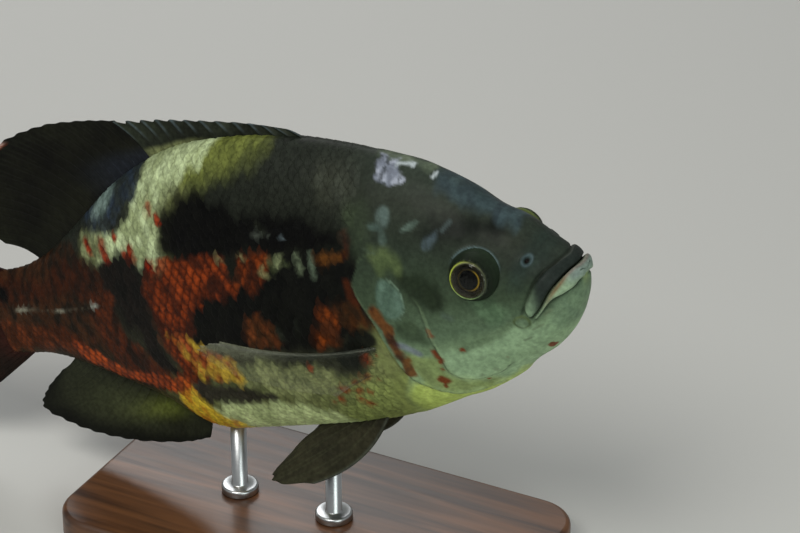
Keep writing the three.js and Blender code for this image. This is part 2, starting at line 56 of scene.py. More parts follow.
def smoothLine(points):
    xs, ys = np.array(points, float).T
    slopes = np.zeros(len(xs))
    for i in range(len(xs)):
        a, b = max(i - 1, 0), min(i + 1, len(xs) - 1)
        if (ys[i] - ys[a]) * (ys[b] - ys[i]) >= 0:
            slopes[i] = (ys[b] - ys[a]) / (xs[b] - xs[a])

    def at(x):
        x = np.clip(x, xs[0], xs[-1])
        i = np.clip(np.searchsorted(xs, x, side="right") - 1, 0, len(xs) - 2)
        span = xs[i + 1] - xs[i]
        t = (x - xs[i]) / span
        rise = (ys[i + 1] - ys[i]) * t * t * (3 - 2 * t)
        return ys[i] + rise + span * (slopes[i] * t * (1 - t) ** 2 + slopes[i + 1] * t * t * (t - 1))

    return at


back = smoothLine([(0.6, -1), (1, 0.3), (2.2, 1.5), (3.6, 3.1), (5.4, 5), (7, 6.9), (8.8, 8.4),
                   (10.6, 9.4), (12.4, 10.7), (14.4, 12.7), (17, 14.6), (20.7, 16.9), (25, 18.6),
                   (31, 20.7), (38, 22.5), (46, 23.8), (54, 24.1), (61, 23.5), (68, 21.4),
                   (74, 18.7), (80, 15), (86, 11.3), (91, 8.8), (96, 7.4), (102.6, 7.2)])
belly = smoothLine([(0.6, -0.8), (0.9, -3.5), (2.3, -6.4), (3.9, -8.6), (5.7, -10.3), (8, -11.9),
                    (11, -13.2), (14, -15), (19, -17), (24, -18.3), (31.5, -20.1), (38, -20.9),
                    (47, -21.2), (56, -21.3), (64, -21.4), (68.6, -20.6), (72, -18.5), (75, -16.4),
                    (79, -14.2), (84, -11.8), (88, -9.9), (92, -8.2), (96, -7.2), (102.6, -7)])
halfWidth = smoothLine([(0.6, 1.2), (0.9, 2), (1.6, 3.2), (3.2, 4.7), (6, 6.1), (8.5, 7), (12, 7.9),
                        (16, 8.8), (22, 9.7), (29, 10.3), (38, 10.4), (48, 10.1), (58, 9.2), (66, 8),
                        (74, 6.4), (82, 4.8), (88, 3.8), (94, 2.9), (102.6, 1.5)])
widestHeight = smoothLine([(0.6, -0.6), (8, -2), (16, -1), (30, -1.5), (50, 0), (70, 1), (102.6, 0.1)])
backPower = smoothLine([(0.6, 1.6), (16, 1.64), (24, 1.67), (36, 1.72), (50, 1.9), (102.6, 1.9)])
bellyPower = smoothLine([(0.6, 2), (20, 2), (40, 2.25), (66, 2.1), (80, 1.9), (102.6, 1.9)])


def turned(vectors):
    # directions in the fish's own axes (forward, out, up) to the world's
    c, s = noseTurn
    x, y, z = np.moveaxis(np.asarray(vectors, float), -1, 0)
    return np.stack([x * c - z * s, y, x * s + z * c], -1)


def toWorld(station, out, height):
    own = np.broadcast_arrays((fish["middleStation"] - station) * unit, out * unit, height * unit)
    return turned(np.stack(own, -1)) + (0, 0, fish["axisHeight"])


def signedPower(value, power):
    return np.sign(value) * np.abs(value) ** power


def section(station, angle):
    # out and height of the body's surface; angle 0 is the back's middle, positive on the left side
    top = np.cos(angle) > 0
    middle = widestHeight(station)
    power = 2 / np.where(top, backPower(station), bellyPower(station))
    reach = np.where(top, back(station) - middle, middle - belly(station))
    out = signedPower(np.sin(angle), power) * halfWidth(station)
    return out, middle + reach * signedPower(np.cos(angle), power)


def skinPoint(station, angle):
    out, height = section(station, angle)
    return toWorld(station, out, height)


def skinNormal(station, angle):
    ds, da = 0.15, 0.02
    along = skinPoint(station + ds, angle) - skinPoint(station - ds, angle)
    around = skinPoint(station, angle + da) - skinPoint(station, angle - da)
    normal = np.cross(around, along)
    return normal / np.maximum(np.linalg.norm(normal, axis=-1, keepdims=True), 1e-12)


# Smooth noise from a seeded lattice, the same each run

noise = {"seed": 7, "cells": 32, "start": 100.0, "layerShift": 0.37, "evenOut": 1.6}
lattice = np.random.default_rng(noise["seed"]).uniform(-1, 1, (noise["cells"],) * 3)


def noiseAt(points, size):
    # points in metres, size of the lumps in metres; about -1 to 1
    p = np.asarray(points, float) / size + noise["start"]
    cell = np.floor(p).astype(int)
    t = p - cell
    t = t * t * (3 - 2 * t)
    total = 0
    for corner in np.ndindex(2, 2, 2):
        at = (cell + corner) % noise["cells"]
        weight = np.where(corner, t, 1 - t)
        weight = weight[..., 0] * weight[..., 1] * weight[..., 2]
        total = total + lattice[at[..., 0], at[..., 1], at[..., 2]] * weight
    return total


def cloudAt(points, size, layers=3):
    total = sum(noiseAt(points + noise["layerShift"] * k, size / 2 ** k) / 2 ** k for k in range(layers))
    return total / noise["evenOut"]


def smoothStep(x, low, high):
    t = np.clip((x - low) / (high - low), 0, 1)
    return t * t * (3 - 2 * t)


# Lines and outlines drawn on the side of the fish, by station and height

def drawn(points, closed=False, steps=8):
    p = np.array(points, float)
    n = len(p)
    result = []
    for i in range(n if closed else n - 1):
        if closed:
            a, b, c, d = p[i - 1], p[i], p[(i + 1) % n], p[(i + 2) % n]
        else:
            a, b, c, d = p[max(i - 1, 0)], p[i], p[i + 1], p[min(i + 2, n - 1)]
        for t in np.arange(steps) / steps:
            result.append(0.5 * (2 * b + (c - a) * t + (2 * a - 5 * b + 4 * c - d) * t * t
                                 + (3 * b - a - 3 * c + d) * t ** 3))
    if not closed:
        result.append(p[-1])
    return np.array(result)


def nearLine(points, station, height, closed=False, reach=8.0, beyond=99.0):
    # distance in mm, the side (positive to the left of the way), and the share of the way; a place
    # further off than the reach, in stations, gets the distance beyond
    line = drawn(points, closed)
    if closed:
        line = np.vstack([line, line[:1]])
    q = np.stack([station, height], -1)
    best = np.full(q.shape[:-1], beyond)
    side = np.ones(q.shape[:-1])
    share = np.zeros(q.shape[:-1])
    near = np.all((q > line.min(0) - reach) & (q < line.max(0) + reach), -1)
    q = q[near]
    found, foundSide, foundShare = best[near], side[near], share[near]
    inside = np.zeros(len(q), bool)
    for i in range(len(line) - 1):
        a, d = line[i], line[i + 1] - line[i]
        t = np.clip(((q - a) @ d) / max(d @ d, 1e-12), 0, 1)
        off = q - a - t[:, None] * d
        distance = np.hypot(off[:, 0], off[:, 1]) * toMm
        closer = distance < found
        found = np.where(closer, distance, found)
        foundSide = np.where(closer, np.sign(d[0] * (q - a)[:, 1] - d[1] * (q - a)[:, 0]), foundSide)
        foundShare = np.where(closer, (i + t) / (len(line) - 1), foundShare)
        if closed and abs(d[1]) > 1e-9:
            crosses = (a[1] > q[:, 1]) != (line[i + 1][1] > q[:, 1])
            inside ^= crosses & (q[:, 0] < a[0] + (q[:, 1] - a[1]) / d[1] * d[0])
    best[near], share[near] = found, foundShare
    side[near] = np.where(inside, 1, -1) if closed else foundSide
    if closed:
        side[~near] = -1
    return best, side, share


def bell(x, middle, width):
    return np.exp(-((x - middle) / width) ** 2)


def faded(share, fade):
    # 1 along a line, and down to 0 at both of its ends
    return smoothStep(share, 0, fade) * smoothStep(1 - share, 0, fade) if fade else np.ones_like(share)


def groove(points, station, height, depth, width, fade):
    distance, _, share = nearLine(points, station, height)
    return -depth * bell(distance, 0, width) * faded(share, fade)


def pad(points, station, height, rise, roundness):
    # a rounded cushion inside a closed outline
    distance, side, _ = nearLine(points, station, height, closed=True)
    share = np.clip(np.where(side > 0, distance, 0) / roundness, 0, 1)
    return rise * np.sqrt(np.clip(1 - (1 - share) ** 2, 0, 1))


def stepDown(points, station, height, drop, width, reach, fade=0.12):
    # the skin stands up along a line on its right side, and falls away sharply past the line
    distance, side, share = nearLine(points, station, height)
    rise = np.where(side < 0, np.exp(-(distance / reach) ** 1.5), bell(distance, 0, width))
    return drop * rise * faded(share, fade)


head = {
    "mouthLine": [(-0.6, 0.3), (0.9, 0.3), (1.6, 0.1), (2.4, -0.45), (3.3, -1.2), (4.1, -1.95),
                  (5.0, -3.0), (5.8, -3.9), (7.2, -4.9)],
    "upperLip": [(-1, 0.5), (0.9, 0.4), (1.6, 0.2), (2.4, -0.35), (3.3, -1.05), (4.1, -1.8),
                 (5.0, -2.85), (5.8, -3.75), (6.6, -4.5), (7.2, -4.7), (7.5, -4.0), (7.5, -3.1),
                 (7.0, -2.2), (6.2, -1.0), (5.4, 0.0), (4.3, 0.85), (3.2, 1.3), (2.4, 1.5),
                 (1.4, 1.4), (-1, 1.3)],
    "lowerLip": [(-1, 0.2), (0.9, 0.2), (1.6, 0.0), (2.4, -0.55), (3.3, -1.3), (4.1, -2.05),
                 (5.0, -3.1), (5.8, -4.05), (6.8, -5.0), (6.4, -5.1), (5.5, -4.3), (4.4, -3.3),
                 (3.5, -2.8), (2.5, -2.6), (1.4, -2.2), (0.7, -1.6), (-1, -1.4)],
    "secondFold": [(0.5, -1.5), (0.9, -1.9), (1.4, -2.3), (2.5, -2.65), (3.5, -2.8), (4.4, -3.3),
                   (5.5, -4.3), (6.5, -5.1), (7.2, -5.7)],
    "chinFold": [(3.0, -4.8), (4.6, -6.2), (6.6, -7.4), (9.0, -8.0)],
    "lipGroove": [(1.2, 1.9), (2.5, 1.75), (3.3, 1.45), (4.4, 0.95), (5.6, -0.1), (6.6, -1.8),
                  (7.6, -3.3), (8.3, -4.3)],
    "knob": [(7.6, -4.8), (8.2, -4.3), (9.0, -4.4), (9.5, -4.9), (9.3, -5.6), (8.5, -6.1), (7.6, -5.7)],
    "oblique": [(9.4, -4.6), (10.4, -5.3), (11.7, -5.9), (12.9, -6.5), (14.3, -6.95), (15.9, -7.5),
                (17.7, -8.2)],
    "cheekEdge": [(22.9, 3.0), (22.5, 1.1), (21.8, -0.5), (21.6, -2.7), (21.7, -4.9), (21.5, -7.2),
                  (21.4, -8.8), (21.5, -10.7), (20.7, -12.3), (18.5, -13.3), (16.2, -13.1),
                  (14.6, -12.7), (12.9, -11.7)],
    "coverEdge": [(22.9, 7.2), (25.4, 8.2), (28.3, 7.7), (30.6, 6.0), (31.3, 3.9), (30.4, 0.9),
                  (29.2, -2.3), (28.4, -6.4), (27.2, -11.2), (25.6, -13.3), (24.2, -14.6),
                  (22.6, -15.6), (19.6, -15.8), (16.4, -15.5)],
    "throatEdge": [(26.8, -15.2), (23.8, -16.8), (19.8, -16.9), (16.0, -16.1), (12.8, -14.4)],
    "browLine": [(8.5, 5.6), (11.0, 6.6), (14.0, 7.4), (17.0, 7.4)],
}

# Relief of the head, in mm
relief = {
    "pads": [("upperLip", 1.3, 2.3), ("lowerLip", 1.15, 1.3), ("knob", 1.1, 1.5)],  # rise, roundness
    "grooves": [("mouthLine", 1.2, 0.34, 0), ("lipGroove", 0.8, 0.6, 0.1), ("secondFold", 0.6, 0.35, 0.1),
                ("chinFold", 0.3, 0.9, 0.2), ("oblique", 0.9, 1.5, 0.25)],  # depth, width, fading ends
    "steps": [("cheekEdge", 0.7, 0.35, 5.0), ("coverEdge", 0.9, 0.3, 7.0),
              ("throatEdge", 0.5, 0.3, 3.5)],  # drop, width, reach
    "thinAtSnout": ("upperLip", "lipGroove"),
    "brow": (0.35, 3.0),  # rise, width
    "lumps": (0.12, 0.006),  # rise, size in metres
}

nostril = {  # mm, but for its place
    "place": (6.3, 2.8), "radius": 0.85, "depth": 1.3, "rimRadius": 1.7, "rimRise": 0.4, "rimWidth": 0.55,
}

eye = {  # mm, but for its place and the two directions
    "station": 13.4, "out": 6.4, "height": 2.35,
    "look": (0.08, 0.99, 0.1),  # forward, out, up
    "socketLook": (0.29, 0.91, 0.285),  # the lie of the skin round it
    "radius": 9.3, "socketRadius": 8.75, "reach": 14, "behind": 3,
    "rimRise": 0.55, "rimAway": 0.35, "rimWidth": 0.6,
    "cover": 0.5, "steepness": 3.0, "steepWidth": 1.2,  # how the skin goes down inside the ball
}


def eyeAxes(side):
    centre = toWorld(eye["station"], side * eye["out"], eye["height"])
    return [centre] + [turned(np.array(eye[name]) * (1, side, 1) / np.linalg.norm(eye[name]))
                       for name in ("look", "socketLook")]


def fromNostril(station, height):
    return np.hypot(station - nostril["place"][0], height - nostril["place"][1]) * toMm


def headRelief(station, height, points):
    # how far the skin stands out from the plain body, in mm
    where = (station, height)
    rise = relief["lumps"][0] * cloudAt(points, relief["lumps"][1])
    thin = 0.35 + 0.65 * smoothStep(station, 1.2, 5.0)
    atSnout = relief["thinAtSnout"]
    for line, high, roundness in relief["pads"]:
        rise += pad(head[line], *where, high, roundness) * (thin if line in atSnout else 1)
    for line, depth, width, fade in relief["grooves"]:
        rise += groove(head[line], *where, depth, width, fade) * (thin if line in atSnout else 1)
    for line, drop, width, reach in relief["steps"]:
        rise += stepDown(head[line], *where, drop, width, reach)
    rise += relief["brow"][0] * bell(nearLine(head["browLine"], *where)[0], 0, relief["brow"][1])
    away = fromNostril(*where)
    rise += nostril["rimRise"] * bell(away, nostril["rimRadius"], nostril["rimWidth"])
    rise -= nostril["depth"] * bell(away, 0, nostril["radius"])
    return rise


def roundEye(side, points):
    # each point's depth along the socket's axis, its place square to it and its distance from it, in mm
    centre, _, normal = eyeAxes(side)
    offset = (points - centre) * 1000
    deep = offset @ normal
    flat = offset - deep[..., None] * normal
    return deep, flat, np.linalg.norm(flat, axis=-1)


def eyeHollow(points):
    # moves the skin round each eyeball: a rim, then down inside the ball
    for side in (1, -1):
        deep, _, away = roundEye(side, points)
        close = (deep > -eye["behind"]) & (away < eye["reach"])
        rim = eye["rimRise"] * bell(away, eye["socketRadius"] + eye["rimAway"], eye["rimWidth"])
        ball = np.sqrt(np.clip(eye["radius"] ** 2 - away ** 2, 0, None))
        slope = eye["steepness"] * np.clip(eye["socketRadius"] - away, 0, eye["steepWidth"])
        inside = ball - eye["cover"] - slope
        wanted = np.where(away < eye["socketRadius"], np.minimum(deep, inside), deep + rim)
        points = points + np.where(close, wanted - deep, 0)[..., None] * eyeAxes(side)[2] / 1000
    return points


# Markings: outlines and strokes on the side of the fish, with ragged edges. The colours are sRGB.

def colour(text):
    value = np.array([int(text[i:i + 2], 16) for i in (0, 2, 4)]) / 255
    return np.where(value <= 0.04045, value / 12.92, ((value + 0.055) / 1.055) ** 2.4)


def mixed(base, tint, amount):
    return base + (tint - base) * np.clip(amount, 0, 1)[..., None]


def mixTint(base, text, amount):
    return mixed(base, colour(text), amount)


def rampTint(x, places, texts):
    tints = np.array([colour(text) for text in texts.split()])
    return np.stack([np.interp(x, places, tints[:, k]) for k in range(3)], -1)


zones = [
    # name, outline, colours (the second in fine dashes), strength, softness in mm, raggedness in mm
    ("olive saddle", [(56, 27), (49.6, 27), (45.4, 26), (44, 23), (45.4, 22.2), (48, 21.2), (51.8, 20.2),
                      (55.9, 19), (59.4, 17.8), (61, 19), (58, 22)], "747c3c 5a612f", 0.95, 6, 1.6),
    ("nape green", [(30.6, 14.4), (27.2, 14.8), (26.1, 11.1), (27.1, 8.1), (29.3, 8.1), (30.8, 10.8)],
     "46543a 3b4732", 0.75, 3.4, 2),
    ("nape brown", [(35.4, 19), (30, 18.6), (28, 16), (30, 14.2), (34, 15)],
     "40443a 34372d", 0.7, 4.5, 2),
    ("cream band", [(65, 26), (58.2, 26.5), (52.6, 26), (52.2, 23.6), (55, 22.2), (58.2, 19.8),
                    (61, 17.6), (62.3, 15.4), (62.8, 13), (63, 10.6), (63, 9), (63.9, 7.2), (65, 7),
                    (66, 8.6), (68.4, 7.6), (69.8, 10), (73.3, 9.9), (75.7, 9.2), (80, 8.4), (81, 10),
                    (81, 12), (78.6, 13), (75.3, 13.3), (72, 13.8), (70.2, 15.4), (67.4, 18.1),
                    (66, 21.2)], "bdcc9e 939f74", 0.96, 1.5, 2.2),
    ("olive edge", [(60.4, 18.6), (62.6, 15.4), (63.4, 12), (63.3, 9.8), (61.9, 9.6), (61.2, 12.6),
                    (59.6, 15.4), (56.6, 17.6), (57.6, 19.4)], "6c7248 4d5034", 0.75, 3, 1.4),
    ("blue scales", [(65.6, 22.4), (69.4, 21.4), (72.5, 20), (75.3, 19), (77.2, 17.6), (79.2, 15.2),
                     (78.7, 13.6), (76.5, 13.1), (72.9, 13.5), (70.4, 15.2), (67.9, 17.6), (66.3, 19.4)],
     "2a3542 272d2c", 0.95, 1.2, 1.8),
    ("cream far", [(81, 12.4), (77.3, 12.9), (74.9, 12.4), (75.5, 9.4), (78.5, 8.4), (81, 8.6)],
     "6f7448 4a4c2c", 0.7, 1.6, 2),
    ("light spot", [(77, 16.4), (75.6, 17.9), (73.8, 18.8), (72.4, 18.8), (72.9, 17.4), (74, 16.2),
                    (75.8, 15), (77.3, 14.9)], "7c908a 566862", 0.88, 2.2, 0.8),
    ("black upper", [(63.2, 9.6), (62.6, 12.7), (61, 15.6), (59, 17.2), (56.6, 18), (53.4, 17.4),
                     (49.7, 16.2), (46.5, 14.7), (43.7, 14), (37.8, 12.6), (32.6, 11.5), (31.7, 9.9),
                     (31.8, 8.7), (36.1, 8.5), (40.9, 9), (46.7, 9.5), (52, 9.5), (57.5, 9.5)],
     "050505 080807", 0.97, 2.4, 2.6),
    ("black middle", [(60.4, 3.4), (57.2, 5), (52, 5.4), (48.4, 6.2), (44.4, 7.6), (40, 8.8), (36, 8.8),
                      (33.4, 7.2), (31.1, 6.4), (28.6, 5), (27.7, 3.5), (29.7, 2.6), (30.4, -2), (34, -4),
                      (38, -6), (44, -6), (51, -5.4), (57, -5), (62, -5.4)],
     "070807 0d0e0b", 0.97, 1.4, 2),
    ("stalk", [(106, 9), (93, 9), (86.4, 12), (82.4, 11), (79.6, 8), (76.6, 7), (75.8, 2), (75, -3.4),
               (72.6, -6.6), (69, -10.4), (78, -14), (106, -12)], "382112 1c160f", 0.96, 2.4, 2.4),
    ("stalk red", [(106, 5.6), (96.4, 6.4), (89.7, 5.8), (86.4, 8.5), (82, 9.2), (79, 8.2), (77, 5.4),
                   (79, 3), (87.2, 3.2), (96.4, 2.1), (106, 2.8)], "38190c 20120c", 0.8, 2.4, 2),
    ("stalk low", [(106, 0), (98, -1.3), (89.7, -2.1), (85.9, -3), (84.3, -4.8), (88, -6.4), (93.9, -5.9),
                   (106, -5.4)], "5f2c13 3c1c0a", 0.85, 2.4, 2),
    ("rear brown", [(79, 4.4), (76.3, 4.4), (75.4, 2.7), (75.6, -1), (75.6, -3.6), (73.4, -4.4),
                    (71.6, -6.6), (69.4, -9.6), (74.7, -10), (79, -8.9), (81.6, -7), (82, -2)],
     "50230f 23140c", 0.85, 1.8, 2.4),
    ("black rear", [(75, 8.9), (71.8, 9.2), (69.4, 8.6), (68.4, 6.8), (68.5, 2.4), (69, -2.5), (68.8, -5),
                    (68, -7.4), (67.2, -9.4), (70.3, -8.9), (72.4, -6.4), (73, -1.8), (75.2, -3.4),
                    (75.7, -1), (75.3, 3.8), (76.3, 5.4), (76.4, 7.4)], "0e0d0b 171310", 0.96, 1.4, 2),
    ("red main", [(63.3, 9.4), (57.6, 9.4), (51.9, 9.4), (51.4, 7.8), (51.2, 5.7), (50.4, 4.2),
                  (52.5, 3.1), (56.7, 3.3), (58.5, 2.1), (60.2, 0.8), (60.7, -2.2), (61.6, -3.6),
                  (61.2, -6), (60.6, -8), (61.6, -10.2), (64.7, -11.4), (66.6, -10), (67.8, -7.7),
                  (68.5, -5), (68.7, -1), (68.9, 3.2), (68.5, 5.5), (67.6, 7.4), (66.1, 7.5), (65, 6.8),
                  (63.9, 8.2)], "7c3211 38180d", 0.95, 0.8, 2),
    ("red second", [(49.3, 9.3), (46.7, 9.5), (44.6, 8.9), (43.3, 7.9), (44.5, 6.4), (46.2, 5.5),
                    (47.3, 4.1), (49, 4.3), (50.9, 4.5), (50, 6.1), (49.9, 7.7)],
     "72300f 34170b", 0.95, 0.8, 1.6),
    ("red small", [(51.5, -4.4), (51, -2), (49.5, -0.4), (48.4, 0.3), (47.7, -0.8), (46.3, -1.3),
                   (46.4, -3.2), (46.8, -4.6)], "683618 34200f", 0.92, 0.9, 1.6),
    ("orange middle", [(35.6, 1), (34, 1.8), (31.2, 1.6), (30.2, 0.3), (29.2, -1.2), (28.9, -2.8),
                       (30.3, -3), (33.9, -2.7), (35.4, -2.4)], "42250e 2c1c0e", 0.93, 1.4, 1.6),
    ("orange front", [(39.9, -4.6), (38.7, -2), (37.1, 0.5), (35.7, 0.8), (34.6, 1.2), (34, 0),
                      (34.4, -2), (35.2, -3.5), (35.6, -4.9), (37.2, -5.6), (39.2, -5.6)],
     "74350f 40200e", 0.93, 0.9, 1.6),
    ("orange blob", [(32.4, 3.9), (31, 4.4), (29.6, 3.8), (28.6, 2.5), (28.3, 1.2), (29.2, 0.4),
                     (30.4, 0.7), (31.7, 1.5), (32.5, 2.7)], "3f1c0b 24110a", 0.93, 0.8, 1),
    ("breast", [(44, -11.4), (36, -8.6), (33, -6), (27, -3), (25, -12), (24, -22), (50, -24),
                (47, -13.4)], "78814f 666c44", 0.92, 4.5, 2),
    ("breast yellow", [(34, -11.6), (29, -10.6), (25, -13), (24, -22), (44, -23), (40, -15.6)],
     "838f50 717c46", 0.85, 5, 2),
    # partly dark skin, partly painted shadow of the pectoral fin over the body
    ("under fin", [(50.6, -6.4), (46, -5.9), (43.2, -5.6), (39.7, -5.5), (36.5, -5), (31.6, -6.2),
                   (31.9, -8.4), (33.4, -9.8), (36, -10.2), (39.5, -9.9), (43, -9.2), (46.4, -8.8),
                   (50, -7.8)], "22231a 303224", 0.9, 1.6, 1.2),
    ("cream green", [(57, -8.4), (50.5, -7), (46.9, -8), (42.9, -8.6), (38.8, -9.3), (40.9, -12.2),
                     (46.4, -13.4), (51, -12.4), (55.4, -11.2)], "8d9463 6a704c", 0.92, 2, 2.4),
    ("belly cream", [(62.4, -14.6), (56.7, -14.4), (51.3, -14.6), (46.7, -15.8), (42, -17.8), (42, -24),
                     (66, -24)], "c4d298 a8b680", 0.94, 2.2, 2),
    ("grey streak", [(66.4, -10.8), (63.3, -10.6), (60.5, -10.9), (57, -11.5), (54, -12.1), (51.4, -13.2),
                     (54.6, -14.4), (57.8, -14.6), (61.4, -14.2), (65, -14.4), (66.8, -13.5)],
     "25231f 302d27", 0.94, 1.2, 1.8),
    ("yellow dashes", [(65.4, -2.8), (62.6, -2.6), (60.4, -4.2), (58.7, -5.4), (56.2, -6.6), (55.2, -8.6),
                       (55.6, -11), (58.4, -10.9), (60.8, -9.9), (62.6, -8.6), (63.4, -6.6), (65, -5)],
     "b59535 8b4420", 0.92, 0.9, 2.2),
    ("yellow anal", [(68.4, -10.8), (66.4, -11.1), (66, -13.5), (65.2, -15.9), (63.8, -17.6),
                     (61.5, -19.4), (62, -24), (72, -24), (71.4, -16.6), (70.4, -13.9)],
     "d8bc38 bc7a22", 0.95, 0.8, 1.2),
    ("red anal", [(88, -4.2), (84.3, -5.5), (83.1, -7), (81.2, -8.5), (78.8, -9.5), (75, -9.9),
                  (71.5, -9.9), (68.3, -10.1), (66.4, -10.9), (69, -12.6), (71.8, -12.3), (75.1, -12),
                  (79, -12), (82, -11), (84.5, -9.8), (88, -7.4)], "a8481c 74331a", 0.95, 0.7, 1),
    ("anal base dark", [(90, -9), (84, -11.4), (79, -13.2), (74, -13.4), (71.4, -14.4), (72.4, -20),
                        (90, -16)], "484528 38361f", 0.9, 1, 0.8),
    ("cream d1", [(43.9, 8.1), (42.4, 9), (41.5, 8.5), (40.5, 7), (42.2, 7.1), (43.7, 6.4)],
     "444c34 30361f", 0.85, 0.7, 0.9),
    ("orange yellow", [(35.8, 7.9), (34.3, 8.7), (32.5, 8.3), (31.1, 8.6), (31.5, 7.2), (33.2, 6.9),
                       (34.7, 6.4), (35.8, 6.8)], "553312 2a110a", 0.9, 0.8, 1),
    ("brown spot", [(32, 11.2), (31, 11.7), (30.1, 10.3), (30.2, 9.2), (31.3, 8.3), (31.8, 9.4)],
     "3e1c10 24120d", 0.9, 0.7, 0.9),
    ("axil", [(36.9, -6.3), (35, -4.5), (33.7, -3.3), (32.2, -2.8), (31, -3.2), (30.1, -4.2),
              (30.3, -5.5), (32, -6.7), (33.8, -8.5), (35.2, -9.1), (36.7, -8.7), (37.4, -7.6)],
     "0b0d0a 10120e", 0.97, 0.9, 0.8),
]

markings = [
    # name, points, radius in mm, colour, strength, softness, raggedness in mm
    ("cream dash", [(52.6, 9.3), (51.9, 8.6)], 1.0, "85825a", 0.75, 0.6, 0.6),
    ("cream dash", [(48.5, 9.3), (48.1, 8.6)], 1.0, "85825a", 0.75, 0.6, 0.6),
    ("cream dash", [(45.2, 7.6), (45.6, 6.8), (44.8, 6.1)], 1.3, "85845a", 0.75, 0.6, 0.8),
    ("cream dash", [(39.3, 8.9), (38.9, 7.7), (39.1, 6.1)], 1.1, "66725a", 0.75, 0.8, 0.6),
    ("cream dash", [(37.1, 8.8), (37, 7.2), (36.9, 5.2)], 1.0, "5c6a58", 0.7, 0.8, 0.6),
    ("cream dash", [(41.9, 8.8), (42.6, 7.2)], 1.3, "767e5c", 0.7, 0.8, 0.7),
    ("side line", [(98, 1), (94.4, 1.3), (90.2, 1.1), (87.6, 1.1), (83.6, 1.5), (79.4, 2)], 0.5, "5c5648",
     0.6, 0.9, 0.1),
    ("side line", [(97.4, 1.1), (95.4, 1.3)], 0.8, "8d8c7c", 0.8, 0.8, 0.2),
    ("side line", [(89, 1.1), (87.6, 1.1)], 0.9, "9a9a8a", 0.8, 0.8, 0.2),
    ("side line", [(80.9, 1.8), (79.6, 2)], 0.9, "8f958c", 0.8, 0.8, 0.2),
    ("tube", [(45.6, 11.9), (43.2, 11.7)], 0.7, "4c524a", 0.6, 0.8, 0.3),
    ("tube", [(41.6, 11.2), (40.8, 11)], 0.7, "59656a", 0.7, 0.8, 0.3),
    ("faint dash", [(44.8, 13.4), (44, 12.2)], 1.6, "22261c", 0.6, 0.8, 0.5),
    ("grey green dash", [(45.6, -1.8), (45.2, -3.6)], 1.2, "2b3026", 0.7, 0.8, 0.5),
    ("grey green dash", [(42.2, -0.8), (42, -2.8)], 1.0, "262a22", 0.7, 0.8, 0.5),
    ("tail spot", [(99.4, 4.0), (99.8, 3.6)], 3.2, "060606", 0.96, 0.4, 0.8),
]

# Small spots and dashes: colour, strength, raggedness in mm, then each one's two ends and radius in mm

bodySpots = [
    ("771f07", 0.96, 0.8, [
        ((64.4, 17.0), (64.2, 15.9), 1.3), ((62.9, 15.4), (62.7, 14.3), 1.4),
        ((79.0, 11.6), (78.3, 10.0), 1.7), ((75.5, 11.6), (75.2, 9.4), 2.2),
        ((69.4, 11.0), (69.2, 9.4), 2.2), ((66.2, 9.0), (66.1, 7.8), 1.7),
        ((72.5, 12.6), (72.3, 12.2), 1.1), ((71.0, 10.2), (70.8, 9.6), 1.3)]),
    ("b59a34", 0.85, 0.8, [
        ((62.4, -3.4), (61.6, -4.6), 1.5), ((59.8, -6.2), (59.6, -7.6), 1.5),
        ((57.6, -8.2), (57.2, -9.6), 1.5), ((55.8, -8.8), (55.4, -10.2), 1.5),
        ((63.6, -8.8), (63.2, -10.0), 1.5), ((66.8, -12.6), (66.4, -14.2), 1.5),
        ((65.4, -17.2), (64.8, -18.4), 1.5)]),
    ("7a2e16", 0.85, 1.1, [
        ((32.7, -7.2), (32.4, -8.2), 2.0), ((31.0, -7.0), (30.8, -7.3), 0.9),
        ((42.5, -8.2), (42.6, -8.9), 1.6), ((33.6, -10.3), (34.4, -10.9), 1.6),
        ((36.2, -11.3), (36.6, -11.7), 1.3), ((36.1, -12.6), (36.7, -12.9), 1.7),
        ((34.9, -13.1), (34.7, -13.4), 1.1), ((38.2, -12.5), (38.9, -12.8), 1.5),
        ((40.2, -13.8), (40.1, -14.2), 1.2), ((41.8, -14.7), (41.9, -15.0), 0.9),
        ((37.0, -14.3), (36.7, -14.6), 1.2), ((36.2, -15.2), (35.7, -15.7), 1.2),
        ((32.7, -11.0), (32.5, -11.3), 0.9), ((39.1, -12.3), (39.6, -12.1), 1.0)]),
]

membrane = {  # the dark seam of skin behind the gill cover
    "line": [(28.6, -0.4), (28.0, -1.6), (27.6, -3.2), (27.4, -5.0), (27.2, -6.8), (26.9, -8.4),
             (26.8, -10.4)],
    "tints": ("623a1a", "36160c"),
    "width": (1.1, 2.5),  # mm, where it begins to fade and where it ends
    "strength": 0.93,
}

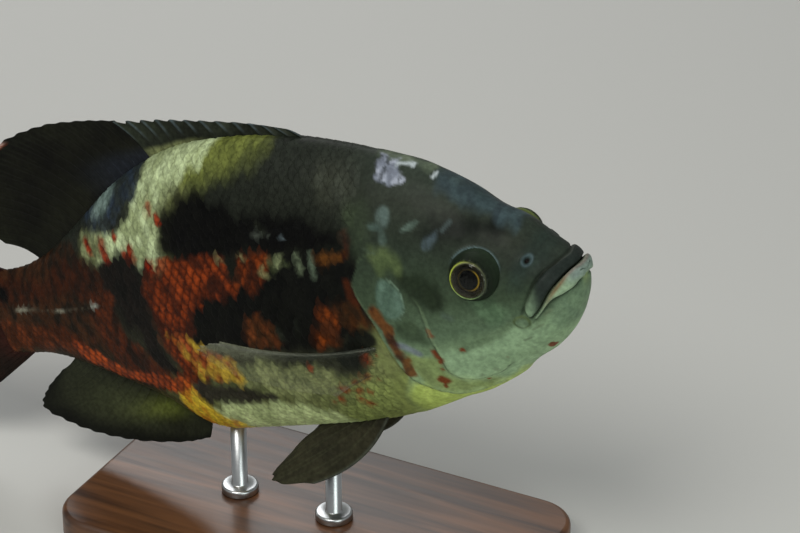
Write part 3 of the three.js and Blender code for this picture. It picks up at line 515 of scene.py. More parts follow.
headZones = [
    ("dark above eye", [(19.6, 9), (17, 10.6), (13.6, 9.4), (9.4, 8.2), (10, 6.4), (13.6, 7.4),
                        (17.6, 7.2)], "0f1410 0d120e", 0.88, 3.2, 1.5),
    ("dark behind eye", [(24.4, 5), (22, 5), (19.8, 3.6), (18.4, 0.6), (19, -1.4), (21.2, -0.6),
                         (23.4, 2.2)], "1d2619 1a2217", 0.85, 3, 1.5),
    ("cheek green", [(27.6, 7.8), (25.6, 8), (23.4, 6.4), (22.8, 5), (24.4, 4.6), (26.8, 5)],
     "586640 4c5a38", 0.8, 2.6, 1.5),
    ("cover dark", [(26.6, -2.6), (24.6, -2.2), (22.4, -3.6), (22.2, -6.4), (24, -5.8), (26, -4.4)],
     "394733 303c2b", 0.8, 2.2, 1.2),
    ("cover low", [(26.4, -8), (23.6, -8), (22.2, -9), (22, -12), (19, -13.8), (16, -13.8), (17, -15),
                   (22, -15), (25, -12.8)], "83945c 768452", 0.85, 1.6, 1),
    ("jaw", [(20.8, -8), (17, -7.6), (13, -6.4), (10, -5.4), (6.6, -6.4), (2, -3.4), (-1, -5), (5, -14),
             (12, -16), (19, -13), (21, -11)], "8faa86 849e7c", 0.9, 2.4, 1),
    ("throat", [(26.8, -12), (24.4, -14.8), (22, -15.9), (16, -15.6), (12, -14), (12, -20), (27, -22),
                (30, -16)], "b9cb6a a9bb5e", 0.9, 1.6, 0.8),
    ("chin grey", [(4.0, -4.2), (2.4, -3.1), (0.9, -2.2), (-1, -2.4), (-0.6, -6), (2.4, -8), (4.6, -7.4)],
     "586d58 667c62", 0.75, 3, 1.2),
    # a painted blue-grey sheen over the forehead, along the edge of the back
    ("forehead", [(18.4, 15.7), (15.4, 13.9), (12.6, 11.6), (10, 9.8), (7.6, 8), (7.6, 6.6), (10, 8),
                  (12.8, 9.9), (15.6, 12), (17.6, 13.6)], "435459 37444a", 0.75, 1.6, 0.8),
    ("nape olive", [(26.4, 19.6), (26.3, 18.9), (24.4, 18), (21.6, 17.1), (18.6, 15.6), (18, 16.4),
                    (22, 18.6)], "6a7560 566150", 0.85, 0.8, 0.6),
    ("cheek pale", [(13.6, -0.9), (11.3, -1.6), (9.8, -2.4), (9.3, -3.6), (11.3, -4.8), (13.2, -4.2),
                    (14.2, -2.6)], "5f7a5c 50694e", 0.7, 2.4, 1.6),
    ("snout dark", [(3.4, 2.2), (5.6, 0.9), (7.4, -1.2), (9, 0.6), (7.8, 3), (5, 5)],
     "293733 242f2b", 0.5, 3, 1),
    ("teal patch", [(27.2, 3.6), (26, 3.9), (24.8, 3.1), (24.1, 1.7), (24, 0.2), (24.6, -1.1),
                    (25.8, -1.9), (27.1, -1.1), (27.9, 0.4), (27.9, 2)], "5d7668 4b6154", 0.85, 0.8, 0.7),
    ("pale a", [(26, 12.6), (25, 13.2), (24.1, 12.6), (24.2, 11.2), (25, 10.8), (26, 11.4)],
     "5b6c68 4b5a52", 0.75, 1.2, 0.8),
    ("pale b", [(27.3, 11.2), (26, 11.2), (25.4, 10.4), (26.8, 10.4)], "556a66 4a5c56", 0.7, 1, 0.6),
    ("pale c", [(25.9, 10.2), (25.2, 10), (25.1, 8.8), (25.9, 8.8)], "54665f 4a5a52", 0.7, 1, 0.6),
    ("pale d", [(22.8, 9.9), (21.8, 10.6), (20.2, 10.8), (20.4, 10.3), (21.8, 9.7)],
     "5d6f66 4f5f56", 0.8, 0.6, 0.5),
    ("pale e", [(19.8, 7.4), (18.9, 7), (17.6, 7.8), (17.2, 9.4), (18.4, 9)],
     "4c5a62 414d50", 0.75, 1, 0.8),
]

headMarks = [
    ("teal edge", [(25.6, 3.9), (24.4, 2.7), (23.95, 0.9), (24.1, -0.6), (25.1, -1.8)], 0.3, "7a9480", 0.45,
     0.9, 0.15),
    ("violet patch", [(26.9, -5.6), (26, -6), (25, -6.8), (24.3, -7.6)], 1.5, "6f7683", 0.75, 0.9, 0.5),
    ("pale f", [(16.9, 8.9), (15.9, 9.7)], 0.9, "4a5858", 0.6, 0.9, 0.3),
    ("pale g", [(28.4, 8.2), (26.8, 7.6)], 0.8, "4a5848", 0.5, 0.8, 0.3),
    ("cheek violet", [(18.6, -2.2), (17.8, -2.8)], 1.6, "4a5850", 0.5, 0.9, 0.6),
    ("oblique shade", [(9.8, -5.2), (12.4, -6.6), (15.2, -7.5), (18, -8.0)], 1.8, "43543c", 0.6, 0.9, 0.4),
    ("orbit shade", [(15.6, -1.4), (13.4, -2.0), (11, -1.2)], 1.6, "3c4c3a", 0.5, 0.9, 0.4),
]
headSpots = [
    ("6e2c12", 0.92, 1.2, [
        ((21.5, -3.8), (21.4, -4.9), 1.1), ((22.1, -7.6), (21.8, -9.3), 1.6),
        ((21.5, -8.6), (21.5, -9.0), 1.2), ((23.2, -12.3), (22.7, -12.9), 1.7),
        ((23.1, -13.2), (23.4, -13.7), 0.9), ((12.9, -10.6), (12.8, -10.7), 0.8),
        ((7.4, -10.5), (7.1, -10.4), 0.9), ((17.5, -13.9), (17.3, -14.0), 0.6),
        ((18.1, -7.9), (17.9, -8.0), 0.7), ((22.2, -10.6), (22.1, -10.8), 0.7)]),
    ("66745a", 0.6, 0.5, [
        ((15.4, -12.2), (15.2, -12.4), 0.9), ((17.6, -12.8), (17.9, -12.9), 0.9),
        ((6.2, -6.3), (7.6, -6.7), 0.8), ((4.6, -4.4), (5.4, -4.8), 0.7), ((8.4, -8.0), (9.4, -8.2), 0.6)]),
]


def streaksAt(points, size=0.0034, stretch=0.36, squeeze=0.3):
    # fine noise drawn out from back to belly, as the rows of scales carry the colours
    c, s = noseTurn
    along = points[..., 0] * c + points[..., 2] * s
    upward = points[..., 2] * c - points[..., 0] * s
    return cloudAt(np.stack([along, points[..., 1] * squeeze, upward * stretch], -1), size, 2)


def closeTo(places, margin, station, height):
    # true for what lies in the box of some places, widened by a margin in mm
    low, high = np.min(places, 0) - margin / toMm, np.max(places, 0) + margin / toMm
    return (station > low[0]) & (station < high[0]) & (height > low[1]) & (height < high[1])


edgeNoise = {"size": 0.009, "fineSize": 0.002, "nameShift": 0.01}  # metres


def edgeCloud(name, points):
    # the noise of a marking's edge; the length of its name shifts it from mark to mark
    return cloudAt(points + len(name) * edgeNoise["nameShift"], edgeNoise["size"])


def patches(base, marks, station, height, points):
    fine, specks = streaksAt(points), streaksAt(points, 0.0022, 0.5)
    for name, outline, tints, strength, soft, rag in marks:
        near = closeTo(outline, soft + 1.6 * rag, station, height)
        if not near.any():
            continue
        distance, side, _ = nearLine(outline, station[near], height[near], closed=True)
        deep = np.where(side > 0, distance, -distance)
        deep = deep + rag * (1.2 * edgeCloud(name, points[near]) + 1.8 * fine[near])
        tint = rampTint(smoothStep(specks[near], -0.22, 0.26), (0, 1), tints)
        base[near] = mixed(base[near], tint, strength * smoothStep(deep, -soft, soft))
    return base


def strokes(base, marks, station, height, points):
    for name, way, radius, tint, strength, soft, rag in marks:
        near = closeTo(way, 1.3 * radius + 1.5 * rag, station, height)
        if not near.any():
            continue
        distance = nearLine(way, station[near], height[near])[0]
        ragged = distance + rag * edgeCloud(name, points[near])
        ragged = ragged + 0.7 * rag * cloudAt(points[near], edgeNoise["fineSize"], 2)
        inside = 1 - smoothStep(ragged, radius * (1 - soft), radius * (1 + 0.25 * soft))
        base[near] = mixTint(base[near], tint, strength * inside)
    return base


def spots(base, groups, station, height, points):
    for tint, strength, rag, marks in groups:
        small = [("spot", mark[:2], mark[2], tint, strength, 0.5, rag) for mark in marks]
        base = strokes(base, small, station, height, points)
    return base


# The plain ground under the markings, from the belly (0) to the back (1)

ground = {
    "body": ((0.0, 0.1, 0.2, 0.32, 0.5, 0.7, 0.85, 1.0),
             "7f834e 6a6e46 585e3a 2e2f22 1a1a14 12140f 1f221c 242822"),
    "head": ((0.0, 0.1, 0.22, 0.36, 0.52, 0.72, 0.88, 1.0),
             "abc083 a1b882 7d9570 586c54 3b4937 293128 2e332b 333b33"),
}


def groundTint(part, station, height):
    low, high = belly(station), back(station)
    return rampTint((height - low) / np.maximum(high - low, 1e-6), *ground[part])


# some of these are painted light: the highlight on the orbit's edge, the sheen on the far brow, the shade
# in the nostril, the shade in the folds and the shade below the edges
headTints = {
    "nostrilRim": "4f6268", "nostrilHoleShade": "140909", "orbitEdgeHighlight": "71898c", "farBrowSheen": "55676a",
    "upperLip": "252c29", "upperLobe": "86a081", "lowerLip": "93ab8b", "lipStain": "6e4a2c",
    "lipTip": "7c8790", "folds": "161a14", "knobEdge": "4f5c33", "shadeBelowEdges": "20271a",
    "cheekEdge": "8fa880", "throatEdge": "b0c07c", "coverEdge": "6c8060",
}


def bodyTint(*where):
    base = patches(groundTint("body", *where[:2]), zones, *where)
    return spots(strokes(base, markings, *where), bodySpots, *where)


def headTint(*where):
    base = patches(groundTint("head", *where[:2]), headZones, *where)
    base = spots(strokes(base, headMarks, *where), headSpots, *where)
    away = fromNostril(*where[:2])
    base = mixTint(base, headTints["nostrilRim"], 0.6 * bell(away, 1.4, 0.45))
    # painted shade filling the nostril's pit
    base = mixTint(base, headTints["nostrilHoleShade"], 0.95 * (1 - smoothStep(away, 0.5, 0.95)))
    return orbitHighlights(lipTint(base, *where[:2]), where[2])


def orbitHighlights(base, points):
    # a painted highlight along the upper edge of each orbit, and a painted sheen over the brow, on the far
    # side more than the near one
    for side in (1, -1):
        deep, flat, away = roundEye(side, points)
        upper = smoothStep(flat[..., 2] / np.maximum(away, 0.1), 0.1, 0.8) * (deep > -eye["behind"])
        edge = bell(away, eye["socketRadius"] + 0.3, 0.4)
        # painted highlight on the orbit's upper edge
        base = mixTint(base, headTints["orbitEdgeHighlight"], 0.55 * edge * upper)
        if side > 0:
            brow = bell(away, eye["socketRadius"] + 1.6, 2)
            # painted sheen on the far brow
            base = mixTint(base, headTints["farBrowSheen"], 0.7 * brow * upper)
    return base


def insideOf(line, where, soft):
    distance, side, _ = nearLine(head[line], *where, closed=True)
    return np.where(side > 0, smoothStep(distance, 0, soft), 0)


def lipTint(base, *where):
    station, height = where
    lobe = smoothStep(station, 4.8, 7.8) ** 1.3
    upperTint = mixTint(colour(headTints["upperLip"]), headTints["upperLobe"], lobe)
    base = mixed(base, upperTint, 0.95 * insideOf("upperLip", where, 0.5))
    lower = insideOf("lowerLip", where, 0.4)
    base = mixTint(base, headTints["lowerLip"], 0.95 * lower)
    toMouth = nearLine(head["mouthLine"], *where)[0]
    stain = bell(toMouth, 0.8, 0.7) * lower * smoothStep(6.0 - station, 0, 3)
    base = mixTint(base, headTints["lipStain"], 0.8 * stain)
    tip = bell(np.hypot(station - 1.0, height + 0.6) * toMm, 0, 2.2) * lower
    base = mixTint(base, headTints["lipTip"], 0.6 * tip)
    # painted shade in the mouth line, the lip groove and the second fold
    dark = bell(toMouth, 0, 0.32)
    for line, width in (("lipGroove", 0.6), ("secondFold", 0.3)):
        dark = np.maximum(dark, 0.6 * bell(nearLine(head[line], *where)[0], 0, width))
    base = mixTint(base, headTints["folds"], 0.9 * dark)
    toKnob = nearLine(head["knob"], *where, closed=True)[0]
    base = mixTint(base, headTints["knobEdge"], 0.7 * bell(toKnob, 0, 0.4))
    # along the cheek, throat and cover edges: a paler band where the skin stands up, and painted shade just
    # past the line where it falls away
    for line in ("cheekEdge", "throatEdge", "coverEdge"):
        distance, side, share = nearLine(head[line], *where)
        fade = smoothStep(share, 0.05, 0.3)
        base = mixTint(base, headTints[line], 0.4 * bell(distance, 0.5, 0.45) * (side < 0) * fade)
        base = mixTint(base, headTints["shadeBelowEdges"], 0.6 * bell(distance, 0, 0.35) * (side > 0) * fade)
    return base


neck = {  # by height: where the body's colours begin, over how many stations, and where scales begin
    "heights": (-22, -15, -11, -6.4, -2.3, 0.9, 3.9, 6.5, 12, 22),
    "tintEdge": (30, 29, 27.4, 28.3, 29.0, 30.3, 31.2, 29.6, 29.5, 27),
    "softHeights": (-22, -10, 6, 10, 22),
    "tintSoft": (3.0, 0.15, 0.15, 4.0, 7.0),
    "scaleHeights": (-22, -15, -11, -6.4, -2.3, 0.9, 3.9, 7, 12, 22),
    "scaleEdge": (31, 30, 28.4, 29.2, 29.9, 31.2, 32.0, 31, 28, 26),
    "scaleSoft": 2.0,
}


def skinTint(station, height, points):
    # the head's and the body's colours meet behind the gill cover and over the nape
    where = (station, height, points)
    edge = np.interp(height, neck["heights"], neck["tintEdge"])
    soft = np.interp(height, neck["softHeights"], neck["tintSoft"])
    body = smoothStep(station + 0.6 * cloudAt(points, 0.012), edge - soft, edge + soft)
    result = mixed(headTint(*where), bodyTint(*where), body)
    toEdge = nearLine(membrane["line"], station, height)[0]
    toEdge = toEdge + 1.6 * cloudAt(points, 0.004) + 0.8 * streaksAt(points)
    deep = smoothStep(cloudAt(points + 0.4, 0.003), -0.1, 0.5)
    seamTint = mixTint(colour(membrane["tints"][0]), membrane["tints"][1], deep)
    result = mixed(result, seamTint, membrane["strength"] * (1 - smoothStep(toEdge, *membrane["width"])))
    result = scarTint(result, *where)
    result = result * (1 + 0.16 * cloudAt(points, 0.0035) + 0.16 * cloudAt(points, 0.02))[..., None]
    return np.clip(result, 0.002, 1)


scar = {  # an old graze on the right of the nape
    "outline": [(26.4, 19.2), (25.9, 18.5), (26.5, 18.5), (26.8, 18.1), (26.5, 17.4), (26.8, 16.8),
                (26.2, 16.2), (25.1, 15.8), (23.5, 15.4), (22.4, 15.5), (22, 15.9), (22.5, 16.5),
                (23.3, 17.2), (23.3, 17.6), (24.7, 18.4)],
    "streaks": [[(23.6, 17.5), (22.6, 17.4), (21.3, 16.9)], [(18.6, 15.1), (18.2, 15.6), (17.9, 15.9)]],
    "grey": "767c8a", "pale": "a6acbb", "pits": "3b4045", "streakTint": "bac4c8",
}


def insideScar(station, height, points, rag, size, shift):
    distance, side, _ = nearLine(scar["outline"], station, height, closed=True)
    ragged = np.where(side > 0, distance, -distance) + rag * cloudAt(points, size) + shift
    return smoothStep(ragged, -0.4, 0.6) * onRight(points)


def onRight(points):
    return smoothStep(-points[..., 1], 0.0, 0.002)


def scarTint(base, station, height, points):
    pale = smoothStep(cloudAt(points + 0.3, 0.0028, 2), -0.2, 0.35)
    pits = 0.85 * smoothStep(cloudAt(points + 0.7, 0.0017, 2), 0.12, 0.42)
    tint = mixTint(mixTint(colour(scar["grey"]), scar["pale"], pale), scar["pits"], pits)
    base = mixed(base, tint, 0.92 * insideScar(station, height, points, 1.1, 0.003, -0.1))
    for way in scar["streaks"]:
        distance = nearLine(way, station, height)[0] + 0.6 * cloudAt(points, 0.002)
        streak = onRight(points) * (1 - smoothStep(distance, 0.1, 0.9))
        base = mixTint(base, scar["streakTint"], 0.85 * streak)
    return base


def scarRelief(station, height, points):
    inside = insideScar(station, height, points, 0.9, 0.004, 0)
    return inside * (0.15 + 0.22 * cloudAt(points, 0.0026, 2))


# Meshes from arrays

def newMesh(name, points, faces, colours=None, uv=None):
    mesh = bpy.data.meshes.new(name)
    faces = faces.tolist() if isinstance(faces, np.ndarray) else faces
    mesh.from_pydata(np.asarray(points, float).reshape(-1, 3).tolist(), [], faces)
    if colours is not None:
        layer = mesh.attributes.new("tint", "FLOAT_COLOR", "POINT")
        rgba = np.ones((len(mesh.vertices), 4), np.float32)
        rgba[:, :3] = np.asarray(colours).reshape(-1, 3)
        layer.data.foreach_set("color", rgba.ravel())
    if uv is not None:
        loops = np.empty(len(mesh.loops), int)
        mesh.loops.foreach_get("vertex_index", loops)
        layer = mesh.uv_layers.new(name="OFBake")
        layer.data.foreach_set("uv", np.asarray(uv, np.float32).reshape(-1, 2)[loops].ravel())
    mesh.polygons.foreach_set("use_smooth", [True] * len(mesh.polygons))
    mesh.update()
    piece = bpy.data.objects.new(name, mesh)
    bpy.context.scene.collection.objects.link(piece)
    return piece


def addValues(piece, name, values):
    layer = piece.data.attributes.new(name, "FLOAT", "POINT")
    layer.data.foreach_set("value", np.asarray(values, np.float32).ravel())


def gridFaces(rows, columns, wrap=False):
    i, j = np.meshgrid(np.arange(rows - 1), np.arange(columns if wrap else columns - 1), indexing="ij")
    a, b = i * columns + j, i * columns + (j + 1) % columns
    return np.stack([a, b, b + columns, a + columns], -1).reshape(-1, 4)


def closeEnds(faces, rows, sectors):
    # caps from the first and the last ring to the two points that follow the rings
    faces, count, last = faces.tolist(), rows * sectors, (rows - 1) * sectors
    for j in range(sectors):
        k = (j + 1) % sectors
        faces += [[count, k, j], [count + 1, last + j, last + k]]
    return faces


# One skin over head, jaws, gill covers, trunk and tail stalk

skin = {
    "rings": 330,
    "sides": 300,
    "ringShares": (0, 0.2, 0.46, 0.68, 1),
    "ringStations": (0.6, 3.2, 12.5, 32, 102.6),
    "coatDepth": 0.45,  # mm, under the scales
    "reliefEnd": 36,  # the station where the head's relief has run out
    "mapMargin": 0.02,
}


def scaledShare(station, height):
    # 0 on the bare head, 1 where the scales stand
    edge = np.interp(height, neck["scaleHeights"], neck["scaleEdge"])
    return smoothStep(station, edge, edge + neck["scaleSoft"])


def skinSurface(station, angle):
    out, height = section(station, angle)
    points = toWorld(station, out, height)
    rise = np.zeros(points.shape[:-1])
    front = station < skin["reliefEnd"]
    rise[front] = (headRelief(station[front], height[front], points[front])
                   + scarRelief(station[front], height[front], points[front]))
    rise -= skin["coatDepth"] * scaledShare(station, height)
    points = points + skinNormal(station, angle) * rise[..., None] / 1000
    points[front] = eyeHollow(points[front])
    return points, height


def unwrapped(station, angle):
    # the unwrap of the skin's own shape, which the scales share
    along = (station - fish["start"]) / (fish["end"] - fish["start"])
    around = (angle + np.pi) / (2 * np.pi)
    return skin["mapMargin"] + (1 - 2 * skin["mapMargin"]) * np.stack([along, around], -1)


def closeMap(piece, quads):
    # the last face of each ring crosses the seam along the belly
    layer = piece.data.uv_layers["OFBake"].data
    places = np.empty(2 * len(layer), np.float32)
    layer.foreach_get("uv", places)
    around = places[:8 * quads].reshape(quads, 4, 2)[..., 1]
    torn = (np.ptp(around, axis=1) > 0.5)[:, None] & (around < 0.5)
    around[torn] = 1 - skin["mapMargin"]
    layer.foreach_set("uv", places)


def makeSkin():
    rows, sides = skin["rings"], skin["sides"]
    stations = np.interp(np.linspace(0, 1, rows), skin["ringShares"], skin["ringStations"])
    angles = np.linspace(-np.pi, np.pi, sides, endpoint=False)
    station, angle = [a.ravel() for a in np.meshgrid(stations, angles, indexing="ij")]
    points, height = skinSurface(station, angle)
    values = points, skinTint(station, height, points), unwrapped(station, angle)
    points, tints, uv = [np.vstack([v, v[:sides].mean(0), v[-sides:].mean(0)]) for v in values]
    faces = closeEnds(gridFaces(rows, sides, wrap=True), rows, sides)
    piece = newMesh("oscarSkin", points, faces, tints, uv)
    closeMap(piece, (rows - 1) * sides)
    return piece


# The coat: overlapping scales in rows along the body, each a thin closed plate

coat = {
    "alongPitch": smoothLine([(20, 3.4), (40, 3.9), (62, 3.8), (85, 3.2), (103, 2.7)]),  # mm
    "acrossPitch": smoothLine([(20, 3.1), (40, 3.4), (62, 3.3), (85, 2.9), (103, 2.4)]),
    "middleLine": smoothLine([(18, 3.5), (40, 4.0), (62, 3.4), (80, 2.0), (103, 1.0)]),  # height of row 0
    "rowsEachWay": 26,
    "firstStation": 19.0,
    "lowestStation": 17,
    "endGap": 0.8,  # stations
    "foldGap": 0.5,  # mm, left free along the back and the belly
    "lengthInPitches": 2.0,
    "widthInPitches": 1.12,
    "curve": 0.12,  # how far the sides reach back
    "lift": 0.2,  # mm, of a scale's free edge over the skin
    "liftPower": 0.85,
    "sink": 0.35,
    "thickness": 0.13,
    "dome": 0.1,
    "rimDrop": 0.06,
    "leastLift": 0.35,  # share of the lift where the coat begins
    "napeLift": (0.4, 28, 42),  # flatter from one station to another, over the nape
    "tubeRise": 0.3,  # mm, of the side line's tubes
    "tubeWidth": 0.22,
    "tubeEnds": (-0.2, 0.85),
    "sizeSpread": 0.05, "turnSpread": 0.035, "liftSpread": 0.02, "shadeSpread": 0.12,
    "colourPlace": 0.3,  # where along a scale its own colour is taken
    "evenness": 0.28,  # 1 gives each scale one colour, 0 the markings' own edges
    "mapPatch": 0.003,
    "sectors": 12,
    "rings": (0.5, 0.8, 0.94, 1.0),
}

arcs = {"from": 16, "stations": 180, "angles": 361, "reach": 80, "steps": 401}  # reach in mm


def arcTable():
    # for each station, the angle at a distance along the section from the middle line
    stations = np.linspace(arcs["from"], fish["end"], arcs["stations"])
    angles = np.linspace(0, np.pi, arcs["angles"])
    steps = np.linspace(-arcs["reach"], arcs["reach"], arcs["steps"])
    table = np.zeros((len(stations), len(steps)))
    top, bottom = np.zeros(len(stations)), np.zeros(len(stations))
    for i, station in enumerate(stations):
        out, height = section(np.full_like(angles, station), angles)
        way = np.concatenate([[0], np.cumsum(np.hypot(np.diff(out), np.diff(height)) * toMm)])
        zero = np.interp(-coat["middleLine"](station), -height, way)
        table[i] = np.interp(steps, way - zero, angles)
        top[i], bottom[i] = -zero, way[-1] - zero
    return stations, steps, table, top, bottom


arcStations, arcSteps, arcAngles, arcTop, arcBottom = arcTable()


def cellOf(value, steps):
    # the cell of an even table that a value lies in, and how far into it
    x = np.clip((value - steps[0]) / (steps[1] - steps[0]), 0, len(steps) - 1.001)
    cell = x.astype(int)
    return cell, x - cell


def angleAt(station, arc):
    (a, u), (b, v) = cellOf(station, arcStations), cellOf(arc, arcSteps)
    return ((arcAngles[a, b] * (1 - u) + arcAngles[a + 1, b] * u) * (1 - v)
            + (arcAngles[a, b + 1] * (1 - u) + arcAngles[a + 1, b + 1] * u) * v)


def scalePlaces():
    columns = [coat["firstStation"]]
    while columns[-1] < fish["end"]:
        columns.append(columns[-1] + float(coat["alongPitch"](columns[-1])) / toMm)
    places = []
    for row in range(-coat["rowsEachWay"], coat["rowsEachWay"] + 1):
        shift = 0.5 * (row % 2)
        stations = np.interp(np.arange(len(columns) - 1) + shift, np.arange(len(columns)), columns)
        way = row * coat["acrossPitch"](stations)
        height = section(stations, angleAt(stations, way))[1]
        within = ((way > np.interp(stations, arcStations, arcTop) + coat["foldGap"])
                  & (way < np.interp(stations, arcStations, arcBottom) - coat["foldGap"])
                  & (scaledShare(stations, height) > 0.5) & (stations < fish["end"] - coat["endGap"]))
        places += list(zip(stations[within], way[within]))
    return np.array(places)


def scaleTemplate():
    turns = np.linspace(0, 2 * np.pi, coat["sectors"], endpoint=False)
    p, q = [0.0], [0.0]
    for ring in coat["rings"]:
        p += list(ring * np.cos(turns))
        q += list(ring * np.sin(turns))
    n, rings = coat["sectors"], len(coat["rings"])
    outer = 1 + (rings - 1) * n
    under = outer + n
    p += list(np.cos(turns)) + [0.0]
    q += list(np.sin(turns)) + [0.0]
    faces = []
    for j in range(n):
        k = (j + 1) % n
        faces.append((0, 1 + j, 1 + k))
        for r in range(rings - 1):
            a, b = 1 + r * n, 1 + (r + 1) * n
            faces += [(a + j, b + j, b + k), (a + j, b + k, a + k)]
        faces += [(outer + j, under + j, under + k), (outer + j, under + k, outer + k)]
        faces.append((under + n, under + k, under + j))
    below = np.zeros(len(p), bool)
    below[under:] = True
    return np.array(p), np.array(q), below, np.array(faces)


def scaleLift(p, q, below, along, rng, places):
    # how far each point of each scale stands over its foot, in mm
    rest = (p + 1) / 2
    lift = -coat["sink"] + (coat["lift"] + coat["sink"]) * rest ** coat["liftPower"]
    lift = lift + coat["dome"] * (1 - q * q) * rest - coat["rimDrop"] * (np.hypot(p, q) > 0.99)
    lift = np.where(below, lift - coat["thickness"], lift) + rng.normal(0, coat["liftSpread"], along.shape)
    low, high = coat["tubeEnds"]
    tube = coat["tubeRise"] * bell(q, 0, coat["tubeWidth"]) * (p > low) * (p < high) * ~below
    return lift + sideLine(places)[:, None] * tube


def makeScales(side, places, rng):
    p, q, below, faces = scaleTemplate()
    station0, arc0 = places[:, 0:1], places[:, 1:2]
    along = coat["alongPitch"](station0) * coat["lengthInPitches"] / 2
    across = coat["acrossPitch"](station0) * coat["widthInPitches"]
    size = rng.uniform(1 - coat["sizeSpread"], 1 + coat["sizeSpread"], along.shape)
    turn = rng.normal(0, coat["turnSpread"], along.shape)
    rearward = along * size * (p + coat["curve"] * q * q)
    downward = across * size * q + turn * rearward
    station = np.clip(station0 + rearward / toMm, coat["lowestStation"], fish["end"])
    angle = angleAt(station, arc0 + downward) * side
    height = section(station, angle)[1]
    lift = scaleLift(p, q, below, along, rng, places)
    flat, flatFrom, flatTo = coat["napeLift"]
    full = scaledShare(station, height) * (flat + (1 - flat) * smoothStep(station, flatFrom, flatTo))
    lift = lift * (coat["leastLift"] + (1 - coat["leastLift"]) * full) - skin["coatDepth"]
    points = skinPoint(station, angle) + skinNormal(station, angle) * lift[..., None] / 1000
    seen = np.clip(station0 + coat["colourPlace"] * along / toMm, coat["lowestStation"], fish["end"])
    seenAngle = angleAt(seen, arc0) * side
    whole = skinTint(seen, section(seen, seenAngle)[1], skinPoint(seen, seenAngle))
    tints = mixed(skinTint(station, height, points), whole, np.array(coat["evenness"]))
    shade = rng.uniform(1 - coat["shadeSpread"], 1 + coat["shadeSpread"], along.shape)
    tints = shadeScale(tints * shade[..., None], p, q)
    uv = unwrapped(seen, seenAngle) + coat["mapPatch"] / 2 * np.stack([p, q], -1)
    order = faces if side < 0 else faces[:, ::-1]
    allFaces = (order[None] + (np.arange(len(places)) * len(p))[:, None, None]).reshape(-1, 3)
    piece = newMesh("scalesLeft" if side > 0 else "scalesRight", points, allFaces, tints, uv)
    addValues(piece, "across", np.broadcast_to(q, station.shape))
    addValues(piece, "rearward", np.broadcast_to((p + 1) / 2, station.shape))
    return piece


sideLines = {  # stations and heights of the upper and the lower length, and where each begins or ends
    "upper": ((28, 36, 46, 60, 63), (10.4, 11.4, 12.0, 11.6, 11.2)), "upperEnd": 63,
    "lower": ((58, 70, 84, 100), (2.6, 2.1, 1.5, 1.0)), "lowerStart": 58,
    "halfWidth": 0.55,  # of a row's pitch
}


def sideLine(places):
    # true for the scales that carry a tube of the side line
    station, arc = places[:, 0], places[:, 1]
    height = section(station, angleAt(station, arc))[1]
    half = coat["acrossPitch"](station) / toMm * sideLines["halfWidth"]
    onUpper = np.abs(height - np.interp(station, *sideLines["upper"])) < half
    onLower = np.abs(height - np.interp(station, *sideLines["lower"])) < half
    return onUpper & (station < sideLines["upperEnd"]) | onLower & (station > sideLines["lowerStart"])


# the dark tone round each crescent is partly pigment and partly painted shade
crescent = {
    "redFrom": 1.8, "redTo": 4.5,  # red over green, from a pale scale to a red one
    "brightFrom": 0.01, "brightTo": 0.06,  # dark scales have none
    "ground": (0.92, 0.26), "top": (1.04, 1.79),  # tone round it and on it, on pale and on red scales
    "rim": 0.1,
}


def shadeScale(tints, p, q):
    # pale and red scales have a bright crescent with darker skin round it, narrow on red ones, and a faint
    # dark rim; the darkening in front of the crescent is partly the scale's own colour and partly painted
    # shade where the scale before overlaps it
    light = tints.mean(-1)
    ratio = tints[..., 0] / np.maximum(tints[..., 1], 1e-3)
    redness = smoothStep(ratio, crescent["redFrom"], crescent["redTo"])
    broad = bell(p + 0.2 * q * q, 0.66, 0.24)
    narrow = bell(p, 0.62, 0.26) * bell(q, 0, 0.6)
    shape = broad + (narrow - broad) * redness
    dark, high = [pale + (red - pale) * redness for pale, red in (crescent["ground"], crescent["top"])]
    bright = smoothStep(light, crescent["brightFrom"], crescent["brightTo"])
    tone = 1 + (dark + (high - dark) * shape - 1) * bright
    rim = smoothStep(np.hypot(p, q), 0.88, 0.98) * (p > 0.1)
    tone = tone * (1 - crescent["rim"] * rim * bright)
    return np.clip(tints * tone[..., None], 0.0015, 1)


# Eyes: an eyeball with its iris and pupil, under a clear cornea

iris = {
    # mm from the eye's axis, the colour there and how far it stands in front of the eye's centre
    "radii": (0, 3.3, 3.45, 3.7, 3.95, 4.2, 5.0, 5.8, 6.2, 6.4, 6.6, 6.85, 7.3, 8.0, 8.8, 9.25),
    "tints": "020202 020202 161005 43350d 1d1507 171108 1d180d 29250f 343419 "
             "5a6132 646c3a 222a1c 1a2218 1b2419 222c20 2a3628",
    "depths": (6.75, 6.5, 6.4, 6.55, 6.45, 6.45, 6.7, 7.0, 7.2, 7.35, 7.3, 6.75, 5.85, 4.76, 3.0, 0.0),
    "rows": ((0.01, 3.3, 8), (3.45, 7.3, 40), (7.5, 9.25, 12)),
    # arcs: colour, radius and width in mm, the way they face (rearward, up), from, to, strength
    # the arc that faces up (77745a) is a painted highlight on the iris's upper rim
    "arcs": [("b4c248", 6.5, 0.3, (1, 0), -0.1, 0.8, 1), ("86a36c", 6.5, 0.22, (0, -1), 0.3, 0.9, 1),
             ("77745a", 6.25, 0.35, (0, 1), 0.3, 0.9, 0.8), ("3f443c", 6.4, 0.5, (-1, 0), 0.2, 0.9, 0.9),
             ("927618", 3.75, 0.22, (-1, 0), 0.1, 0.9, 1)],
    "farArcs": [("667439", 8.4, 0.9, (0, 1), 0.2, 0.8, 0.8)],
    "grain": 0.35, "grainFrom": 3.9, "grainTo": 6.8,
    "pupil": "030303", "rear": "20281a",
}


